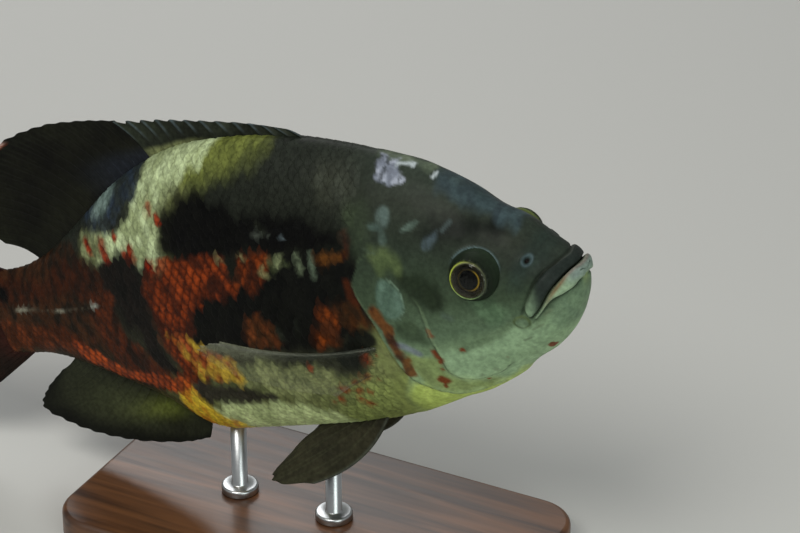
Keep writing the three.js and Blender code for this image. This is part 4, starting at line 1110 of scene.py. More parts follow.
def latheRound(axis, centre, profile, sectors):
    # rings of [radius, depth] in mm round an axis
    helper = np.array((0, 0, 1.0)) - axis * axis[2]
    up = helper / np.linalg.norm(helper)
    across = np.cross(axis, up)
    turns = np.linspace(0, 2 * np.pi, sectors, endpoint=False)
    radius, depth = np.array(profile, float).T
    ring = np.cos(turns)[:, None] * across + np.sin(turns)[:, None] * up
    points = centre + (radius[:, None, None] * ring + depth[:, None, None] * axis) / 1000
    return points.reshape(-1, 3), np.tile(turns, len(profile)), np.repeat(radius, sectors)


def makeEye(side, sectors=96):
    centre, axis, _ = eyeAxes(side)
    fine = np.concatenate([np.linspace(*row) for row in iris["rows"]])
    deep = np.interp(fine, iris["radii"], iris["depths"])
    rear = [(eye["radius"] * math.cos(a), -eye["radius"] * math.sin(a)) for a in np.linspace(0.08, 1.5, 12)]
    profile = list(zip(fine, deep)) + rear
    points, turns, radius = latheRound(axis, centre, profile, sectors)
    tint = rampTint(radius, iris["radii"], iris["tints"])
    rearward, upward = -side * np.cos(turns), np.sin(turns)
    for text, middle, width, way, low, high, share in iris["arcs"] + (iris["farArcs"] if side > 0 else []):
        facing = smoothStep(way[0] * rearward + way[1] * upward, low, high)
        tint = mixTint(tint, text, share * bell(radius, middle, width) * facing)
    grain = cloudAt(np.stack([np.cos(turns) * 0.05, np.sin(turns) * 0.05, radius * 0.0012], -1), 0.006)
    grain = iris["grain"] * grain * (radius > iris["grainFrom"]) * (radius < iris["grainTo"])
    tint = tint * (1 + grain)[:, None]
    tint[len(fine) * sectors:] = colour(iris["rear"])
    points = np.vstack([points, centre + axis * deep[0] / 1000, centre - axis * eye["radius"] / 1000])
    tint = np.vstack([tint, colour(iris["pupil"]), colour(iris["rear"])])
    faces = closeEnds(gridFaces(len(profile), sectors, wrap=True), len(profile), sectors)
    return newMesh("eyeballLeft" if side > 0 else "eyeballRight", points, faces, tint)


cornea = {  # mm
    "rim": 7.35, "foot": 5.95, "apex": 9.0, "wall": 0.4,
    "innerShare": 0.96, "innerDrop": 0.15, "bulge": 1.15,
}


def makeCornea(side, sectors=80):
    centre, axis, _ = eyeAxes(side)
    share = np.linspace(0.01, 1, 22)
    dome = np.sqrt(np.maximum(1 - share * share, 0)) ** cornea["bulge"]
    inside, low = cornea["apex"] - cornea["wall"], cornea["foot"] - cornea["innerDrop"]
    outer = zip(cornea["rim"] * share, cornea["foot"] + (cornea["apex"] - cornea["foot"]) * dome)
    inner = zip(cornea["rim"] * cornea["innerShare"] * share, low + (inside - low) * dome)
    profile = list(outer) + list(inner)[::-1]
    points = latheRound(axis, centre, profile, sectors)[0]
    points = np.vstack([points, centre + axis * cornea["apex"] / 1000, centre + axis * inside / 1000])
    faces = closeEnds(gridFaces(len(profile), sectors, wrap=True), len(profile), sectors)
    return newMesh("corneaLeft" if side > 0 else "corneaRight", points, faces)


# Fins: a membrane between a root line in the body and the line of the ray tips

finSink = 1.6  # stations, how far a root lies inside the body
seam = {"root": (64.6, 0, 20.9), "edge": (69.6, 0, 28.3), "gap": 0.02}  # spiny to soft dorsal


def alongOutline(outline, start, end, count, offset):
    return [(s, 0, float(outline(s)) + offset) for s in np.linspace(start, end, count)]


def behind(place):
    return (place[0] + seam["gap"], place[1], place[2])


fins = {
    "dorsalSpiny": {
        "node": "dorsal_fin_spiny", "rays": 13, "spines": True, "ripple": 0.75, "bow": (0.05, 0, 0.05),
        "notch": 0.1, "web": 0.4, "ray": 1.5,
        "ground": ("2a2f25", "181a14", 0.6),  # two colours and how cloudy they lie
        "root": alongOutline(back, 37, 60, 4, -finSink) + [seam["root"]],
        "edge": [(40.5, 0, 23.9), (46.5, 0, 25.4), (54.6, 0, 26.8), (62, 0, 27.8), seam["edge"]],
    },
    "dorsalSoft": {
        "node": "dorsal_fin_soft", "rays": 20, "flesh": 2, "sway": 1.6, "bow": (0.02, 0, 0.08),
        "ground": ("0a0a08", "181911", 0.8),
        "root": [behind(seam["root"])] + alongOutline(back, 70, 90.4, 5, -finSink),
        "edge": [behind(seam["edge"]), (76, 0, 28.9), (83.5, 0, 28.9), (91, 0, 27.4), (98, 0, 24.2),
                 (102, 0, 19.6), (101, 0, 15.4), (96.4, 0, 11.5)],
    },
    "anal": {
        "node": "anal_fin", "rays": 18, "flesh": 2, "sway": -1.4, "bow": (0.02, 0, -0.06),
        "ground": ("171810", "2d3022", 0.7),
        "root": alongOutline(belly, 69.8, 90.4, 6, finSink),
        "edge": [(71.6, 0, -22.9), (75.6, 0, -23.3), (83.6, 0, -22.8), (90.8, 0, -21.4),
                 (97, 0, -19.1), (101.4, 0, -16), (99.6, 0, -13.4), (95.4, 0, -10.4)],
    },
    "caudal": {
        "node": "caudal_fin", "rays": 18, "flesh": 3, "sway": 3, "bow": (0, 0, 0),
        "ground": ("12100c", "241610", 0.7),
        "root": [(97.6, 0, 6.2), (100.4, 0, 5.2), (101, 0, 0), (100.4, 0, -5.2), (97.6, 0, -6.2)],
        "edge": [(106.5, 0, 10.9), (113, 0, 13.4), (119.5, 0, 13.6), (124.6, 0, 10.4), (126.8, 0, 5),
                 (127.2, 0, 0), (126.8, 0, -5), (124.6, 0, -10.4), (119.5, 0, -13.6),
                 (113, 0, -13.4), (106.5, 0, -10.9)],
    },
    "pectoral": {
        "node": "pectoral_fin", "rays": 14, "flesh": 1, "bow": (0, -0.02, -0.085),
        "lastBow": (0, 0.03, 0.02), "web": 0.22, "ray": 0.9,
        "root": [(29.5, 9.5, -5.6), (30.7, 9.3, -7.6), (32.6, 8.8, -10.2)],
        "edge": [(50, 17.8, 0.4), (54.2, 18, -0.3), (54, 16.6, -3.2), (50.5, 14.6, -7),
                 (45, 12.6, -10.2), (38.5, 11.2, -12.3)],
    },
    "pelvic": {
        "node": "pelvic_fin", "rays": 6, "flesh": 1, "bow": (0.08, 0, -0.1), "lastBow": (-0.04, 0, 0.1),
        "ground": ("26251b", "343224", 0.8),
        "root": [(35.2, 3.8, -17.4), (38.6, 3, -18.8), (43.2, 2.6, -19.8)],
        "edge": [(50.4, 7.4, -27.8), (57.6, 7.2, -27.3), (58, 6, -26.4), (55.6, 4.8, -25)],
    },
}


def curveAt(places, u, side):
    # a centripetal curve through places, in mm along the fish's own axes
    p = np.array(places, float) * (-1, side, 1) * toMm
    p = np.vstack([2 * p[0] - p[1], p, 2 * p[-1] - p[-2]])
    x = np.clip(u, 0, 1) * (len(places) - 1)
    i = np.minimum(x.astype(int), len(places) - 2)
    t = (x - i)[..., None]
    a, b, c, d = p[i], p[i + 1], p[i + 2], p[i + 3]
    e, f, g = [np.sqrt(np.linalg.norm(n - m, axis=-1, keepdims=True)) + 1e-9
               for m, n in ((a, b), (b, c), (c, d))]
    leave = ((b - a) / e - (c - a) / (e + f) + (c - b) / f) * f
    arrive = ((c - b) / f - (d - b) / (f + g) + (d - c) / g) * f
    return (b + leave * t + (3 * (c - b) - 2 * leave - arrive) * t ** 2
            + (2 * (b - c) + leave + arrive) * t ** 3)


def finMiddle(fin, side, u, v):
    start, tip = curveAt(fin["root"], u, side), curveAt(fin["edge"], u, side)
    length = np.linalg.norm(tip - start, axis=-1, keepdims=True)
    first, last = np.array(fin["bow"]), np.array(fin.get("lastBow", fin["bow"]))
    bow = (first + (last - first) * u[..., None]) * (1, side, 1)
    # the bow's first number points forward along the fish
    point = start + (tip - start) * v[..., None] + bow * (4 * v * (1 - v))[..., None] * length
    point[..., 1] += fin.get("sway", 0) * v * v * np.sin(np.pi * (0.2 + 1.2 * u))
    return point


def rayRidge(fin, u, v):
    # 1 along a ray and 0 between them; soft rays branch twice on the way out
    x = u * (fin["rays"] - 1)
    off = np.abs(x - np.round(x))
    if fin.get("spines"):
        return bell(off, 0, 0.13)
    first = 0.2 * smoothStep(v, 0.3, 0.75)
    second = 0.085 * smoothStep(v, 0.62, 0.95)
    off = np.abs(np.abs(off - first) - second)
    return bell(off, 0, 0.085 - 0.03 * v)


finMesh = {"columnsPerRay": 12, "rows": 44, "probe": 0.003, "fleshReach": 0.3, "web": 0.42, "ray": 1.25,
           "notch": 0.022, "ragged": 0.012, "wave": 0.35}


def rimOf(columns, rows):
    # the points round the edge of a sheet of columns and rows, in their order
    last = (columns - 1) * rows
    return np.concatenate([np.arange(0, last, rows), np.arange(last, last + rows - 1),
                           np.arange(last + rows - 1, rows - 1, -rows), np.arange(rows - 1, 0, -1)])


def makeFin(name, side=1, word=""):
    fin, step = {**finMesh, **fins[name]}, finMesh["probe"]
    columns, rows = (fin["rays"] - 1) * fin["columnsPerRay"] + 1, fin["rows"]
    u, v = np.meshgrid(np.linspace(0, 1, columns), np.linspace(0, 1, rows), indexing="ij")
    x = u * (fin["rays"] - 1)
    between = (1 - np.cos(2 * np.pi * x)) / 2
    ragged = cloudAt(np.stack([x * 0.004, 0 * x, 0 * x], -1), 0.008) * fin["ragged"]
    share = v * (1 - fin["notch"] * between - np.abs(ragged))
    middle = finMiddle(fin, side, u, share)
    du = finMiddle(fin, side, np.minimum(u + step, 1), share)
    du = du - finMiddle(fin, side, np.maximum(u - step, 0), share)
    dv = finMiddle(fin, side, u, share + step) - finMiddle(fin, side, u, share - step)
    normal = np.cross(du, dv)
    normal /= np.linalg.norm(normal, axis=-1, keepdims=True)
    ridge = rayRidge(fin, u, share)
    thick = fin["web"] + (fin["ray"] - fin["web"]) * ridge * (1 - share) ** 0.75
    thick = thick + fin.get("flesh", 0) * np.clip(1 - share / fin["fleshReach"], 0, 1) ** 1.5
    wave = cloudAt(np.stack([u * 0.05, v * 0.02, 0 * u], -1), 0.016) * share
    wave = fin["wave"] * wave + fin.get("ripple", 0) * between * share
    faceOffsets = [(wave + turn * thick / 2)[..., None] * normal for turn in (1, -1)]
    both = np.concatenate([(middle + offset).reshape(-1, 3) for offset in faceOffsets]) / 1000
    points = turned(both) + toWorld(0, 0, 0)
    count, faces, rim = columns * rows, gridFaces(columns, rows), rimOf(columns, rows)
    after = np.roll(rim, -1)
    wall = np.stack([after, rim, count + rim, count + after], -1)
    allFaces = np.vstack([faces[:, ::-1], faces + count, wall])
    tints, clear = finTint(name, u, share, ridge, points[:count].reshape(columns, rows, 3))
    piece = newMesh(name + word, points, allFaces, np.concatenate([tints.reshape(-1, 3)] * 2))
    addValues(piece, "cover", np.concatenate([clear.ravel()] * 2))
    return piece


def finTint(name, u, v, ridge, points):
    cloud = cloudAt(points, 0.012)
    clear = np.ones_like(u)
    if name != "pectoral":
        first, second, cloudy = fins[name]["ground"]
        base = mixTint(colour(first), second, 0.5 + cloudy * cloud)
    if name == "dorsalSpiny":
        foot = smoothStep(0.34 - v + 0.1 * cloud, 0, 0.16)
        base = mixTint(base, "7c8258", 0.8 * foot * smoothStep(u, 0.5, 0.75) * smoothStep(1.04 - u, 0, 0.1))
        streak = smoothStep(ridge, 0.3, 0.9) * smoothStep(v, 0.4, 0.8)
        base = mixTint(base, "4f5c60", 0.55 * streak)
        base = mixTint(base, "6c7a80", 0.5 * smoothStep(v, 0.88, 0.98) * smoothStep(cloud, -0.1, 0.5))
    elif name == "dorsalSoft":
        base = mixTint(base, "1c2028", 0.8 * smoothStep(0.42 - v, 0, 0.25) * smoothStep(0.5 - u, 0, 0.3))
        margin = smoothStep(v, 0.915, 0.94) * smoothStep(u, 0.42, 0.5) * smoothStep(0.9 - u, 0, 0.1)
        base = mixTint(base, "a8583a", margin)
        base = mixTint(base, "d3bdb4", margin * smoothStep(v, 0.935, 0.955))
        base = mixTint(base, "22251c", 0.3 * ridge * smoothStep(v, 0.5, 0.9))
    elif name == "anal":
        # a painted yellow-green sheen near the front of the fin, low down
        base = mixTint(base, "626b2c", 0.75 * bell(u - 0.3 * v, 0.2, 0.12) * bell(v, 0.3, 0.2))
        base = mixTint(base, "41462c", 0.5 * bell(u, 0.5, 0.2) * bell(v, 0.4, 0.25))
        base = mixTint(base, "0c0d0a", 0.85 * smoothStep(v, 0.66, 0.95))
    elif name == "caudal":
        base = mixTint(base, "32130b", 0.8 * smoothStep(0.3 - v, 0, 0.25))
        base = mixTint(base, "080807", 0.6 * smoothStep(v, 0.7, 0.95))
    elif name == "pectoral":
        base = mixTint(colour("3c4037"), "7a7d68", smoothStep(v + 0.2 * cloud, 0.35, 0.9))
        base = mixTint(base, "86887c", 0.7 * bell(u, 0.05, 0.03))
        thin = smoothStep(u, 0.08, 0.34)
        clear = 0.55 - (0.48 - 0.1 * ridge * (1 - 0.5 * v)) * thin
        clear = np.maximum(clear, 0.4 * smoothStep(u, 0.95, 0.99) * (1 - 0.6 * v))
        clear = np.maximum(clear, 0.75 * smoothStep(0.1 - v, 0, 0.08) * (1 - 0.7 * thin))
    else:
        base = mixTint(base, "4a4f48", 0.6 * smoothStep(0.05 - u, 0, 0.04))
        base = mixTint(base, "3c3e2c", 0.4 * ridge)
    base = base * (1 + 0.12 * cloudAt(points + 0.2, 0.003))[..., None]
    return np.clip(base, 0.0015, 1), clear


# Effects that several finishes share

def nodeGroup(name, inputs, outputs):
    group = bpy.data.node_groups.new(name, "ShaderNodeTree")
    for label, kind, value in inputs:
        socket = group.interface.new_socket(label, in_out="INPUT", socket_type=kind)
        socket.default_value = value
    for label, kind in outputs:
        group.interface.new_socket(label, in_out="OUTPUT", socket_type=kind)
    return group, group.nodes.new("NodeGroupInput"), group.nodes.new("NodeGroupOutput")


def makeWetGrain():
    # fine grain and small pores of slimy skin, and a slow change in how wet it is
    group, given, result = nodeGroup("wetGrain", [("Size", "NodeSocketFloat", 900.0)],
                                     [("Height", "NodeSocketFloat"), ("Wetness", "NodeSocketFloat")])
    make, link = group.nodes.new, group.links.new
    place = make("ShaderNodeTexCoord")
    fine, pores, slow = make("ShaderNodeTexNoise"), make("ShaderNodeTexVoronoi"), make("ShaderNodeTexNoise")
    link(given.outputs["Size"], fine.inputs["Scale"])
    link(given.outputs["Size"], pores.inputs["Scale"])
    slow.inputs["Scale"].default_value = 60
    for node in (fine, pores, slow):
        link(place.outputs["Object"], node.inputs["Vector"])
    fine.inputs["Detail"].default_value = 3
    both = make("ShaderNodeMath")
    both.operation = "MULTIPLY_ADD"
    both.inputs[1].default_value = 0.6
    link(pores.outputs["Distance"], both.inputs[0])
    link(fine.outputs["Fac"], both.inputs[2])
    link(both.outputs[0], result.inputs["Height"])
    link(slow.outputs["Fac"], result.inputs["Wetness"])
    return group


def makePigment():
    # small darker and lighter specks in whatever colour lies there, as the colour cells of real skin
    group, given, result = nodeGroup(
        "pigment", [("Tint", "NodeSocketColor", (0.1, 0.1, 0.1, 1)), ("Size", "NodeSocketFloat", 650.0),
                    ("Amount", "NodeSocketFloat", 0.3)], [("Color", "NodeSocketColor")])
    make, link = group.nodes.new, group.links.new
    place, specks = make("ShaderNodeTexCoord"), make("ShaderNodeTexNoise")
    level = make("ShaderNodeMapRange")
    link(place.outputs["Object"], specks.inputs["Vector"])
    link(given.outputs["Size"], specks.inputs["Scale"])
    specks.inputs["Detail"].default_value = 2
    link(specks.outputs["Fac"], level.inputs["Value"])
    for label, value in (("From Min", 0.36), ("From Max", 0.64), ("To Min", -1), ("To Max", 1)):
        level.inputs[label].default_value = value
    share, scaled = make("ShaderNodeMath"), make("ShaderNodeVectorMath")
    share.operation, scaled.operation = "MULTIPLY_ADD", "SCALE"
    link(level.outputs["Result"], share.inputs[0])
    link(given.outputs["Amount"], share.inputs[1])
    share.inputs[2].default_value = 1
    link(given.outputs["Tint"], scaled.inputs[0])
    link(share.outputs[0], scaled.inputs["Scale"])
    link(scaled.outputs["Vector"], result.inputs["Color"])
    return group


def makeScaleLines():
    # growth rings and radial lines on each scale, from its own places across and rearward
    group, given, result = nodeGroup("scaleLines", [("Rings", "NodeSocketFloat", 44.0)],
                                     [("Height", "NodeSocketFloat")])
    make, link = group.nodes.new, group.links.new
    across, rearward = make("ShaderNodeAttribute"), make("ShaderNodeAttribute")
    across.attribute_name, rearward.attribute_name = "across", "rearward"

    def maths(kind, a, b=None):
        node = make("ShaderNodeMath")
        node.operation = kind
        for k, value in enumerate((a, b)):
            if value is None:
                continue
            if isinstance(value, (int, float)):
                node.inputs[k].default_value = value
            else:
                link(value, node.inputs[k])
        return node.outputs[0]

    radius = maths("SQRT", maths("ADD", maths("POWER", across.outputs["Fac"], 2.0),
                                 maths("POWER", maths("MULTIPLY", rearward.outputs["Fac"], 1.6), 2.0)))
    rings = maths("SINE", maths("MULTIPLY", radius, given.outputs["Rings"]))
    turn = maths("ARCTAN2", across.outputs["Fac"], rearward.outputs["Fac"])
    spokes = maths("SINE", maths("MULTIPLY", turn, 34.0))
    height = maths("ADD", maths("MULTIPLY", rings, 0.5), maths("MULTIPLY", spokes, 0.6))
    link(height, result.inputs["Height"])
    return group


def makeWoodGrain():
    group, given, result = nodeGroup(
        "woodGrain", [("Dark", "NodeSocketColor", (0.05, 0.02, 0.01, 1)),
                      ("Light", "NodeSocketColor", (0.2, 0.1, 0.05, 1))],
        [("Color", "NodeSocketColor"), ("Height", "NodeSocketFloat")])
    make, link = group.nodes.new, group.links.new
    place, stretch = make("ShaderNodeTexCoord"), make("ShaderNodeMapping")
    stretch.inputs["Scale"].default_value = (4.0, 60.0, 60.0)
    link(place.outputs["Object"], stretch.inputs["Vector"])
    growth, pores = make("ShaderNodeTexNoise"), make("ShaderNodeTexNoise")
    growth.inputs["Scale"].default_value, growth.inputs["Detail"].default_value = 1.0, 5
    pores.inputs["Scale"].default_value, pores.inputs["Detail"].default_value = 9.0, 4
    link(stretch.outputs["Vector"], growth.inputs["Vector"])
    link(stretch.outputs["Vector"], pores.inputs["Vector"])
    bands = make("ShaderNodeMath")
    bands.operation = "PINGPONG"
    bands.inputs[1].default_value = 0.09
    link(growth.outputs["Fac"], bands.inputs[0])
    sharp = make("ShaderNodeMapRange")
    sharp.inputs["From Max"].default_value = 0.09
    link(bands.outputs[0], sharp.inputs["Value"])
    tint = make("ShaderNodeMix")
    tint.data_type = "RGBA"
    link(sharp.outputs["Result"], tint.inputs["Factor"])
    link(given.outputs["Dark"], tint.inputs["A"])
    link(given.outputs["Light"], tint.inputs["B"])
    link(tint.outputs["Result"], result.inputs["Color"])
    link(pores.outputs["Fac"], result.inputs["Height"])
    return group


wetGrain, pigment, scaleLines, woodGrain = makeWetGrain(), makePigment(), makeScaleLines(), makeWoodGrain()


def finish(name, settings):
    material = bpy.data.materials.new(name)
    material.use_nodes = True
    shader = material.node_tree.nodes["Principled BSDF"]
    for label, value in settings.items():
        shader.inputs[label].default_value = value
    return material, material.node_tree, shader


def place(tree, group):
    node = tree.nodes.new("ShaderNodeGroup")
    node.node_tree = group
    return node


def bump(tree, shader, height, strength, distance, under=None):
    node = tree.nodes.new("ShaderNodeBump")
    node.inputs["Strength"].default_value = strength
    node.inputs["Distance"].default_value = distance
    tree.links.new(height, node.inputs["Height"])
    if under is not None:
        tree.links.new(under, node.inputs["Normal"])
    tree.links.new(node.outputs["Normal"], shader.inputs["Normal"])
    return node.outputs["Normal"]


def tinted(tree, shader, specks):
    node, mottled = tree.nodes.new("ShaderNodeAttribute"), place(tree, pigment)
    node.attribute_name = "tint"
    mottled.inputs["Amount"].default_value = specks
    tree.links.new(node.outputs["Color"], mottled.inputs["Tint"])
    tree.links.new(mottled.outputs["Color"], shader.inputs["Base Color"])


def spread(tree, value, low, high):
    node = tree.nodes.new("ShaderNodeMapRange")
    node.inputs["To Min"].default_value, node.inputs["To Max"].default_value = low, high
    tree.links.new(value, node.inputs["Value"])
    return node.outputs["Result"]


# Finishes of the fish: plain settings, specks, how its wetness drives the shader, and bumps as
# strength and depth in metres
finishes = {
    "wetSkin": {"plain": {"Coat Roughness": 0.3, "Specular IOR Level": 0.06}, "specks": 0.13,
                "wet": {"Roughness": (0.42, 0.62), "Coat Weight": (0.0, 0.07)}, "grain": (0.25, 0.0003)},
    "scaleHorn": {"plain": {"Coat Roughness": 0.3, "Specular IOR Level": 0.06}, "specks": 0.22,
                  "wet": {"Roughness": (0.4, 0.6), "Coat Weight": (0.0, 0.06)},
                  "lines": (0.18, 0.00012), "grain": (0.12, 0.0002)},
    "finWeb": {"plain": {"Specular IOR Level": 0.08}, "specks": 0.2, "wet": {"Roughness": (0.45, 0.6)},
               "grain": (0.25, 0.0002), "clear": True},
    "iris": {"plain": {"Roughness": 0.5, "Specular IOR Level": 0.1}, "specks": 0.1, "wet": {},
             "grain": (0.2, 0.0001), "grainSize": 1600},
}


def wetFinish(name):
    look = finishes[name]
    material, tree, shader = finish(name, look["plain"])
    tinted(tree, shader, look["specks"])
    grain, under = place(tree, wetGrain), None
    if "grainSize" in look:
        grain.inputs["Size"].default_value = look["grainSize"]
    for label, (low, high) in look["wet"].items():
        tree.links.new(spread(tree, grain.outputs["Wetness"], low, high), shader.inputs[label])
    if "lines" in look:
        under = bump(tree, shader, place(tree, scaleLines).outputs["Height"], *look["lines"])
    bump(tree, shader, grain.outputs["Height"], *look["grain"], under)
    if look.get("clear"):
        cover = tree.nodes.new("ShaderNodeAttribute")
        cover.attribute_name = "cover"
        tree.links.new(cover.outputs["Fac"], shader.inputs["Alpha"])
    return material


def corneaFinish():
    clearWet = {"Base Color": (0.96, 1, 0.97, 1), "Roughness": 0.0, "IOR": 1.17, "Transmission Weight": 1.0}
    return finish("cornea", clearWet)[0]


wood = {"dark": "3a2314", "light": "6d4629", "roughness": (0.38, 0.56), "grain": (0.2, 0.0002)}
steel = {"tint": "c3c6c8", "roughness": (0.22, 0.42), "brush": (40, 40, 3000), "grain": (0.15, 0.0001)}


def woodFinish():
    material, tree, shader = finish("standWood", {"Coat Weight": 0.25, "Coat Roughness": 0.2})
    grain = place(tree, woodGrain)
    grain.inputs["Dark"].default_value = (*colour(wood["dark"]), 1)
    grain.inputs["Light"].default_value = (*colour(wood["light"]), 1)
    tree.links.new(grain.outputs["Color"], shader.inputs["Base Color"])
    tree.links.new(spread(tree, grain.outputs["Height"], *wood["roughness"]), shader.inputs["Roughness"])
    bump(tree, shader, grain.outputs["Height"], *wood["grain"])
    return material


def steelFinish():
    plain = {"Base Color": (*colour(steel["tint"]), 1), "Metallic": 1.0}
    material, tree, shader = finish("standSteel", plain)
    where, squash = tree.nodes.new("ShaderNodeTexCoord"), tree.nodes.new("ShaderNodeMapping")
    squash.inputs["Scale"].default_value = steel["brush"]
    brushed = tree.nodes.new("ShaderNodeTexNoise")
    brushed.inputs["Scale"].default_value = 1.0
    tree.links.new(where.outputs["Object"], squash.inputs["Vector"])
    tree.links.new(squash.outputs["Vector"], brushed.inputs["Vector"])
    tree.links.new(spread(tree, brushed.outputs["Fac"], *steel["roughness"]), shader.inputs["Roughness"])
    bump(tree, shader, brushed.outputs["Fac"], *steel["grain"])
    return material


# The stand: a bevelled wooden base and two steel rods with collars

stand = {
    "length": 0.176, "width": 0.096, "thickness": 0.012, "corner": 0.016, "chamfer": 0.002,
    "cornerSteps": 14, "chamferSteps": 5,
    "rodStations": (49, 66), "rodRadius": 0.003, "collarRadius": 0.007, "collarHeight": 0.003,
    "collarRound": 0.001, "seat": 0.0004, "tip": 0.0001, "gap": 0.0003, "intoBody": 0.001,
}


def makeBase():
    x, y, r = stand["length"] / 2, stand["width"] / 2, stand["corner"]
    outline = []
    for k, (cx, cy) in enumerate(((x - r, y - r), (r - x, y - r), (r - x, r - y), (x - r, r - y))):
        for a in np.linspace(k * np.pi / 2, (k + 1) * np.pi / 2, stand["cornerSteps"]):
            outline.append((cx, cy, math.cos(a), math.sin(a)))
    outline = np.array(outline)
    c, top = stand["chamfer"], stand["thickness"]
    curve = np.linspace(0.25, 1.5, stand["chamferSteps"])
    levels = [(c, 0)] + [(c * (1 - math.sin(a)), c * (1 - math.cos(a))) for a in curve]
    levels += [(inset, top - z) for inset, z in levels[::-1]]
    n, rows = len(outline), len(levels)
    points = [np.column_stack([outline[:, :2] + (r - inset) * outline[:, 2:], np.full(n, z)])
              for inset, z in levels]
    faces = gridFaces(rows, n, wrap=True).tolist()
    faces += [list(range(n))[::-1], [(rows - 1) * n + j for j in range(n)]]
    piece = newMesh("standBase", np.concatenate(points), faces)
    sides = [len(face.vertices) == 4 for face in piece.data.polygons]
    piece.data.polygons.foreach_set("use_smooth", sides)
    return piece


def makeRod(station, name, sectors=48):
    top = toWorld(station, 0, float(belly(station)))
    foot, r, tip = stand["thickness"] + stand["gap"], stand["rodRadius"], stand["tip"]
    big, bend, seat = stand["collarRadius"], stand["collarRound"], stand["seat"]
    high, end = foot + stand["collarHeight"], top[2] + stand["intoBody"]
    profile = [(tip, foot), (big - 0.0002, foot), (big, foot + 0.0003), (big, high - bend)]
    profile += [(big - bend + bend * math.cos(a), high - bend + bend * math.sin(a))
                for a in np.linspace(0.2, 1.5, 6)]
    profile += [(r + seat, high), (r, high + seat), (r, end), (tip, end)]
    turns = np.linspace(0, 2 * np.pi, sectors, endpoint=False)
    points = [[(top[0] + radius * math.cos(a), radius * math.sin(a), z) for a in turns]
              for radius, z in profile]
    return newMesh(name, points, gridFaces(len(profile), sectors, wrap=True))


# Making and dressing every piece

materials = {
    "skin": wetFinish("wetSkin"), "scales": wetFinish("scaleHorn"), "fins": wetFinish("finWeb"),
    "iris": wetFinish("iris"), "cornea": corneaFinish(), "wood": woodFinish(), "steel": steelFinish(),
}


def dress(piece, material, slotName, *nodes):
    piece.data.materials.append(materials[material])
    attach(piece, "root")
    if nodes:
        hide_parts(*nodes)


dress(makeSkin(), "skin", "body_skin", "head", "lower_jaw", "gill_cover_left", "gill_cover_right",
      "trunk_front", "trunk_rear", "tail_stalk")
print("skin made")

places = scalePlaces()
rng = np.random.default_rng(11)
for side in (1, -1):
    dress(makeScales(side, places, rng), "scales", "body_skin")
print("scales made:", 2 * len(places))

for side, word in ((1, "left"), (-1, "right")):
    dress(makeEye(side), "iris", "eye", "eye_" + word)
    dress(makeCornea(side), "cornea", "eye")
print("eyes made")

for name in ("dorsalSpiny", "dorsalSoft", "anal", "caudal"):
    dress(makeFin(name), "fins", "fin_skin", fins[name]["node"])
for name in ("pectoral", "pelvic"):
    for side, word in ((1, "left"), (-1, "right")):
        dress(makeFin(name, side, word.title()), "fins", "fin_skin", fins[name]["node"] + "_" + word)
print("fins made")

dress(makeBase(), "wood", "stand_wood", "stand_base")
for station, word in zip(stand["rodStations"], ("front", "rear")):
    dress(makeRod(station, "standRod" + word.title()), "steel", "stand_steel", "stand_rod_" + word)
print("stand made")


# Floor, light and camera

view = {
    "place": (0.4658, -0.8238, 0.6333),
    "right": (0.88633, 0.46306, 0.0),
    "up": (-0.22222, 0.42534, 0.87733),
    "lens": 136.62,
    "sensor": 36.0,
    "clip": (0.05, 30),
}

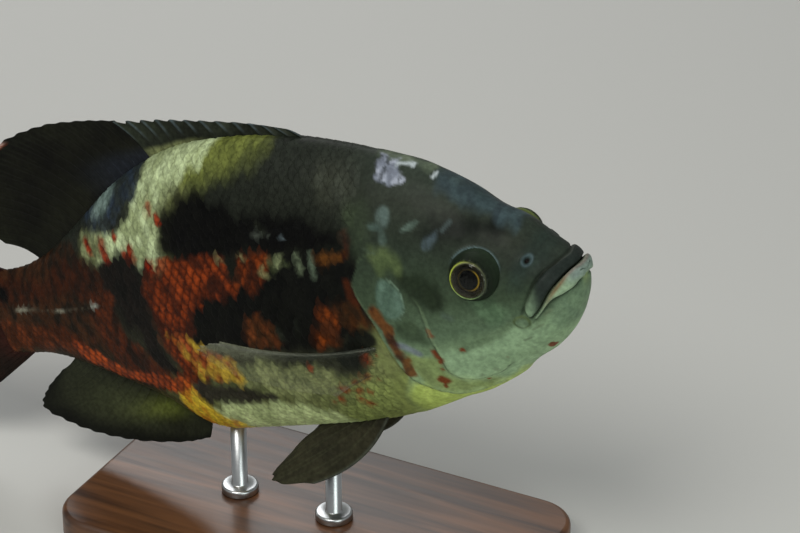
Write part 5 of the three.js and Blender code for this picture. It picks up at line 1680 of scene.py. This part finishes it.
studio = {
    "halfWidth": 4.0, "front": -4.0, "depth": 1.6, "bend": 0.8, "high": 3.0,  # metres
    "floor": {"Base Color": (0.6, 0.6, 0.58, 1), "Roughness": 0.7},
    "air": {"Color": (0.86, 0.88, 0.88, 1), "Strength": 0.3},
    "aim": (0, 0, 0.1),
    # place, size in metres, watts, colour
    "lights": {"key": ((-0.1, -0.9, 1.3), 0.8, 12, (1.0, 0.98, 0.92)),
               "fill": ((1.5, -1.1, 0.6), 1.2, 9, (0.92, 1.0, 0.95)),
               "rim": ((-0.9, 1.1, 1.2), 0.9, 8, (1, 1, 1))},
}


def makeFloor():
    # a pale floor that curves up into a backdrop, square to the view
    depth, bend = studio["depth"], studio["bend"]
    right, away = np.array(view["right"]), np.array((-view["right"][1], view["right"][0], 0))
    profile = [(studio["front"], 0.0), (depth, 0.0)]
    profile += [(depth + bend * math.sin(a), bend * (1 - math.cos(a)))
                for a in np.linspace(0.1, np.pi / 2, 16)]
    profile += [(depth + bend, studio["high"])]
    points = [away * far + right * across + (0, 0, z)
              for far, z in profile for across in (-studio["halfWidth"], studio["halfWidth"])]
    piece = newMesh("paleFloor", points, gridFaces(len(profile), 2))
    piece.data.materials.append(finish("paleFloor", studio["floor"])[0])


def makeLight(name, spotAt, size, watts, tint):
    lamp = bpy.data.lights.new(name, "AREA")
    lamp.shape, lamp.size, lamp.energy, lamp.color = "DISK", size, watts, tint
    holder = bpy.data.objects.new(name, lamp)
    bpy.context.scene.collection.objects.link(holder)
    holder.location = spotAt
    holder.rotation_mode = "QUATERNION"
    holder.rotation_quaternion = (Vector(studio["aim"]) - Vector(spotAt)).to_track_quat("-Z", "Y")


def makeAir():
    world = bpy.data.worlds.new("studio")
    world.use_nodes = True
    for label, value in studio["air"].items():
        world.node_tree.nodes["Background"].inputs[label].default_value = value
    bpy.context.scene.world = world


def makeCamera():
    right, up = Vector(view["right"]).normalized(), Vector(view["up"]).normalized()
    toward = right.cross(up)
    lens = bpy.data.cameras.new("camera")
    lens.lens, lens.sensor_width = view["lens"], view["sensor"]
    lens.clip_start, lens.clip_end = view["clip"]
    camera = bpy.data.objects.new("camera", lens)
    bpy.context.scene.collection.objects.link(camera)
    turn = Matrix((right, up, toward)).transposed().to_4x4()
    camera.matrix_world = Matrix.Translation(Vector(view["place"])) @ turn
    bpy.context.scene.camera = camera


bpy.context.scene.view_settings.view_transform = "Standard"
makeFloor()
for name, settings in studio["lights"].items():
    makeLight(name, *settings)
makeAir()
makeCamera()
print("floor, light and camera made")
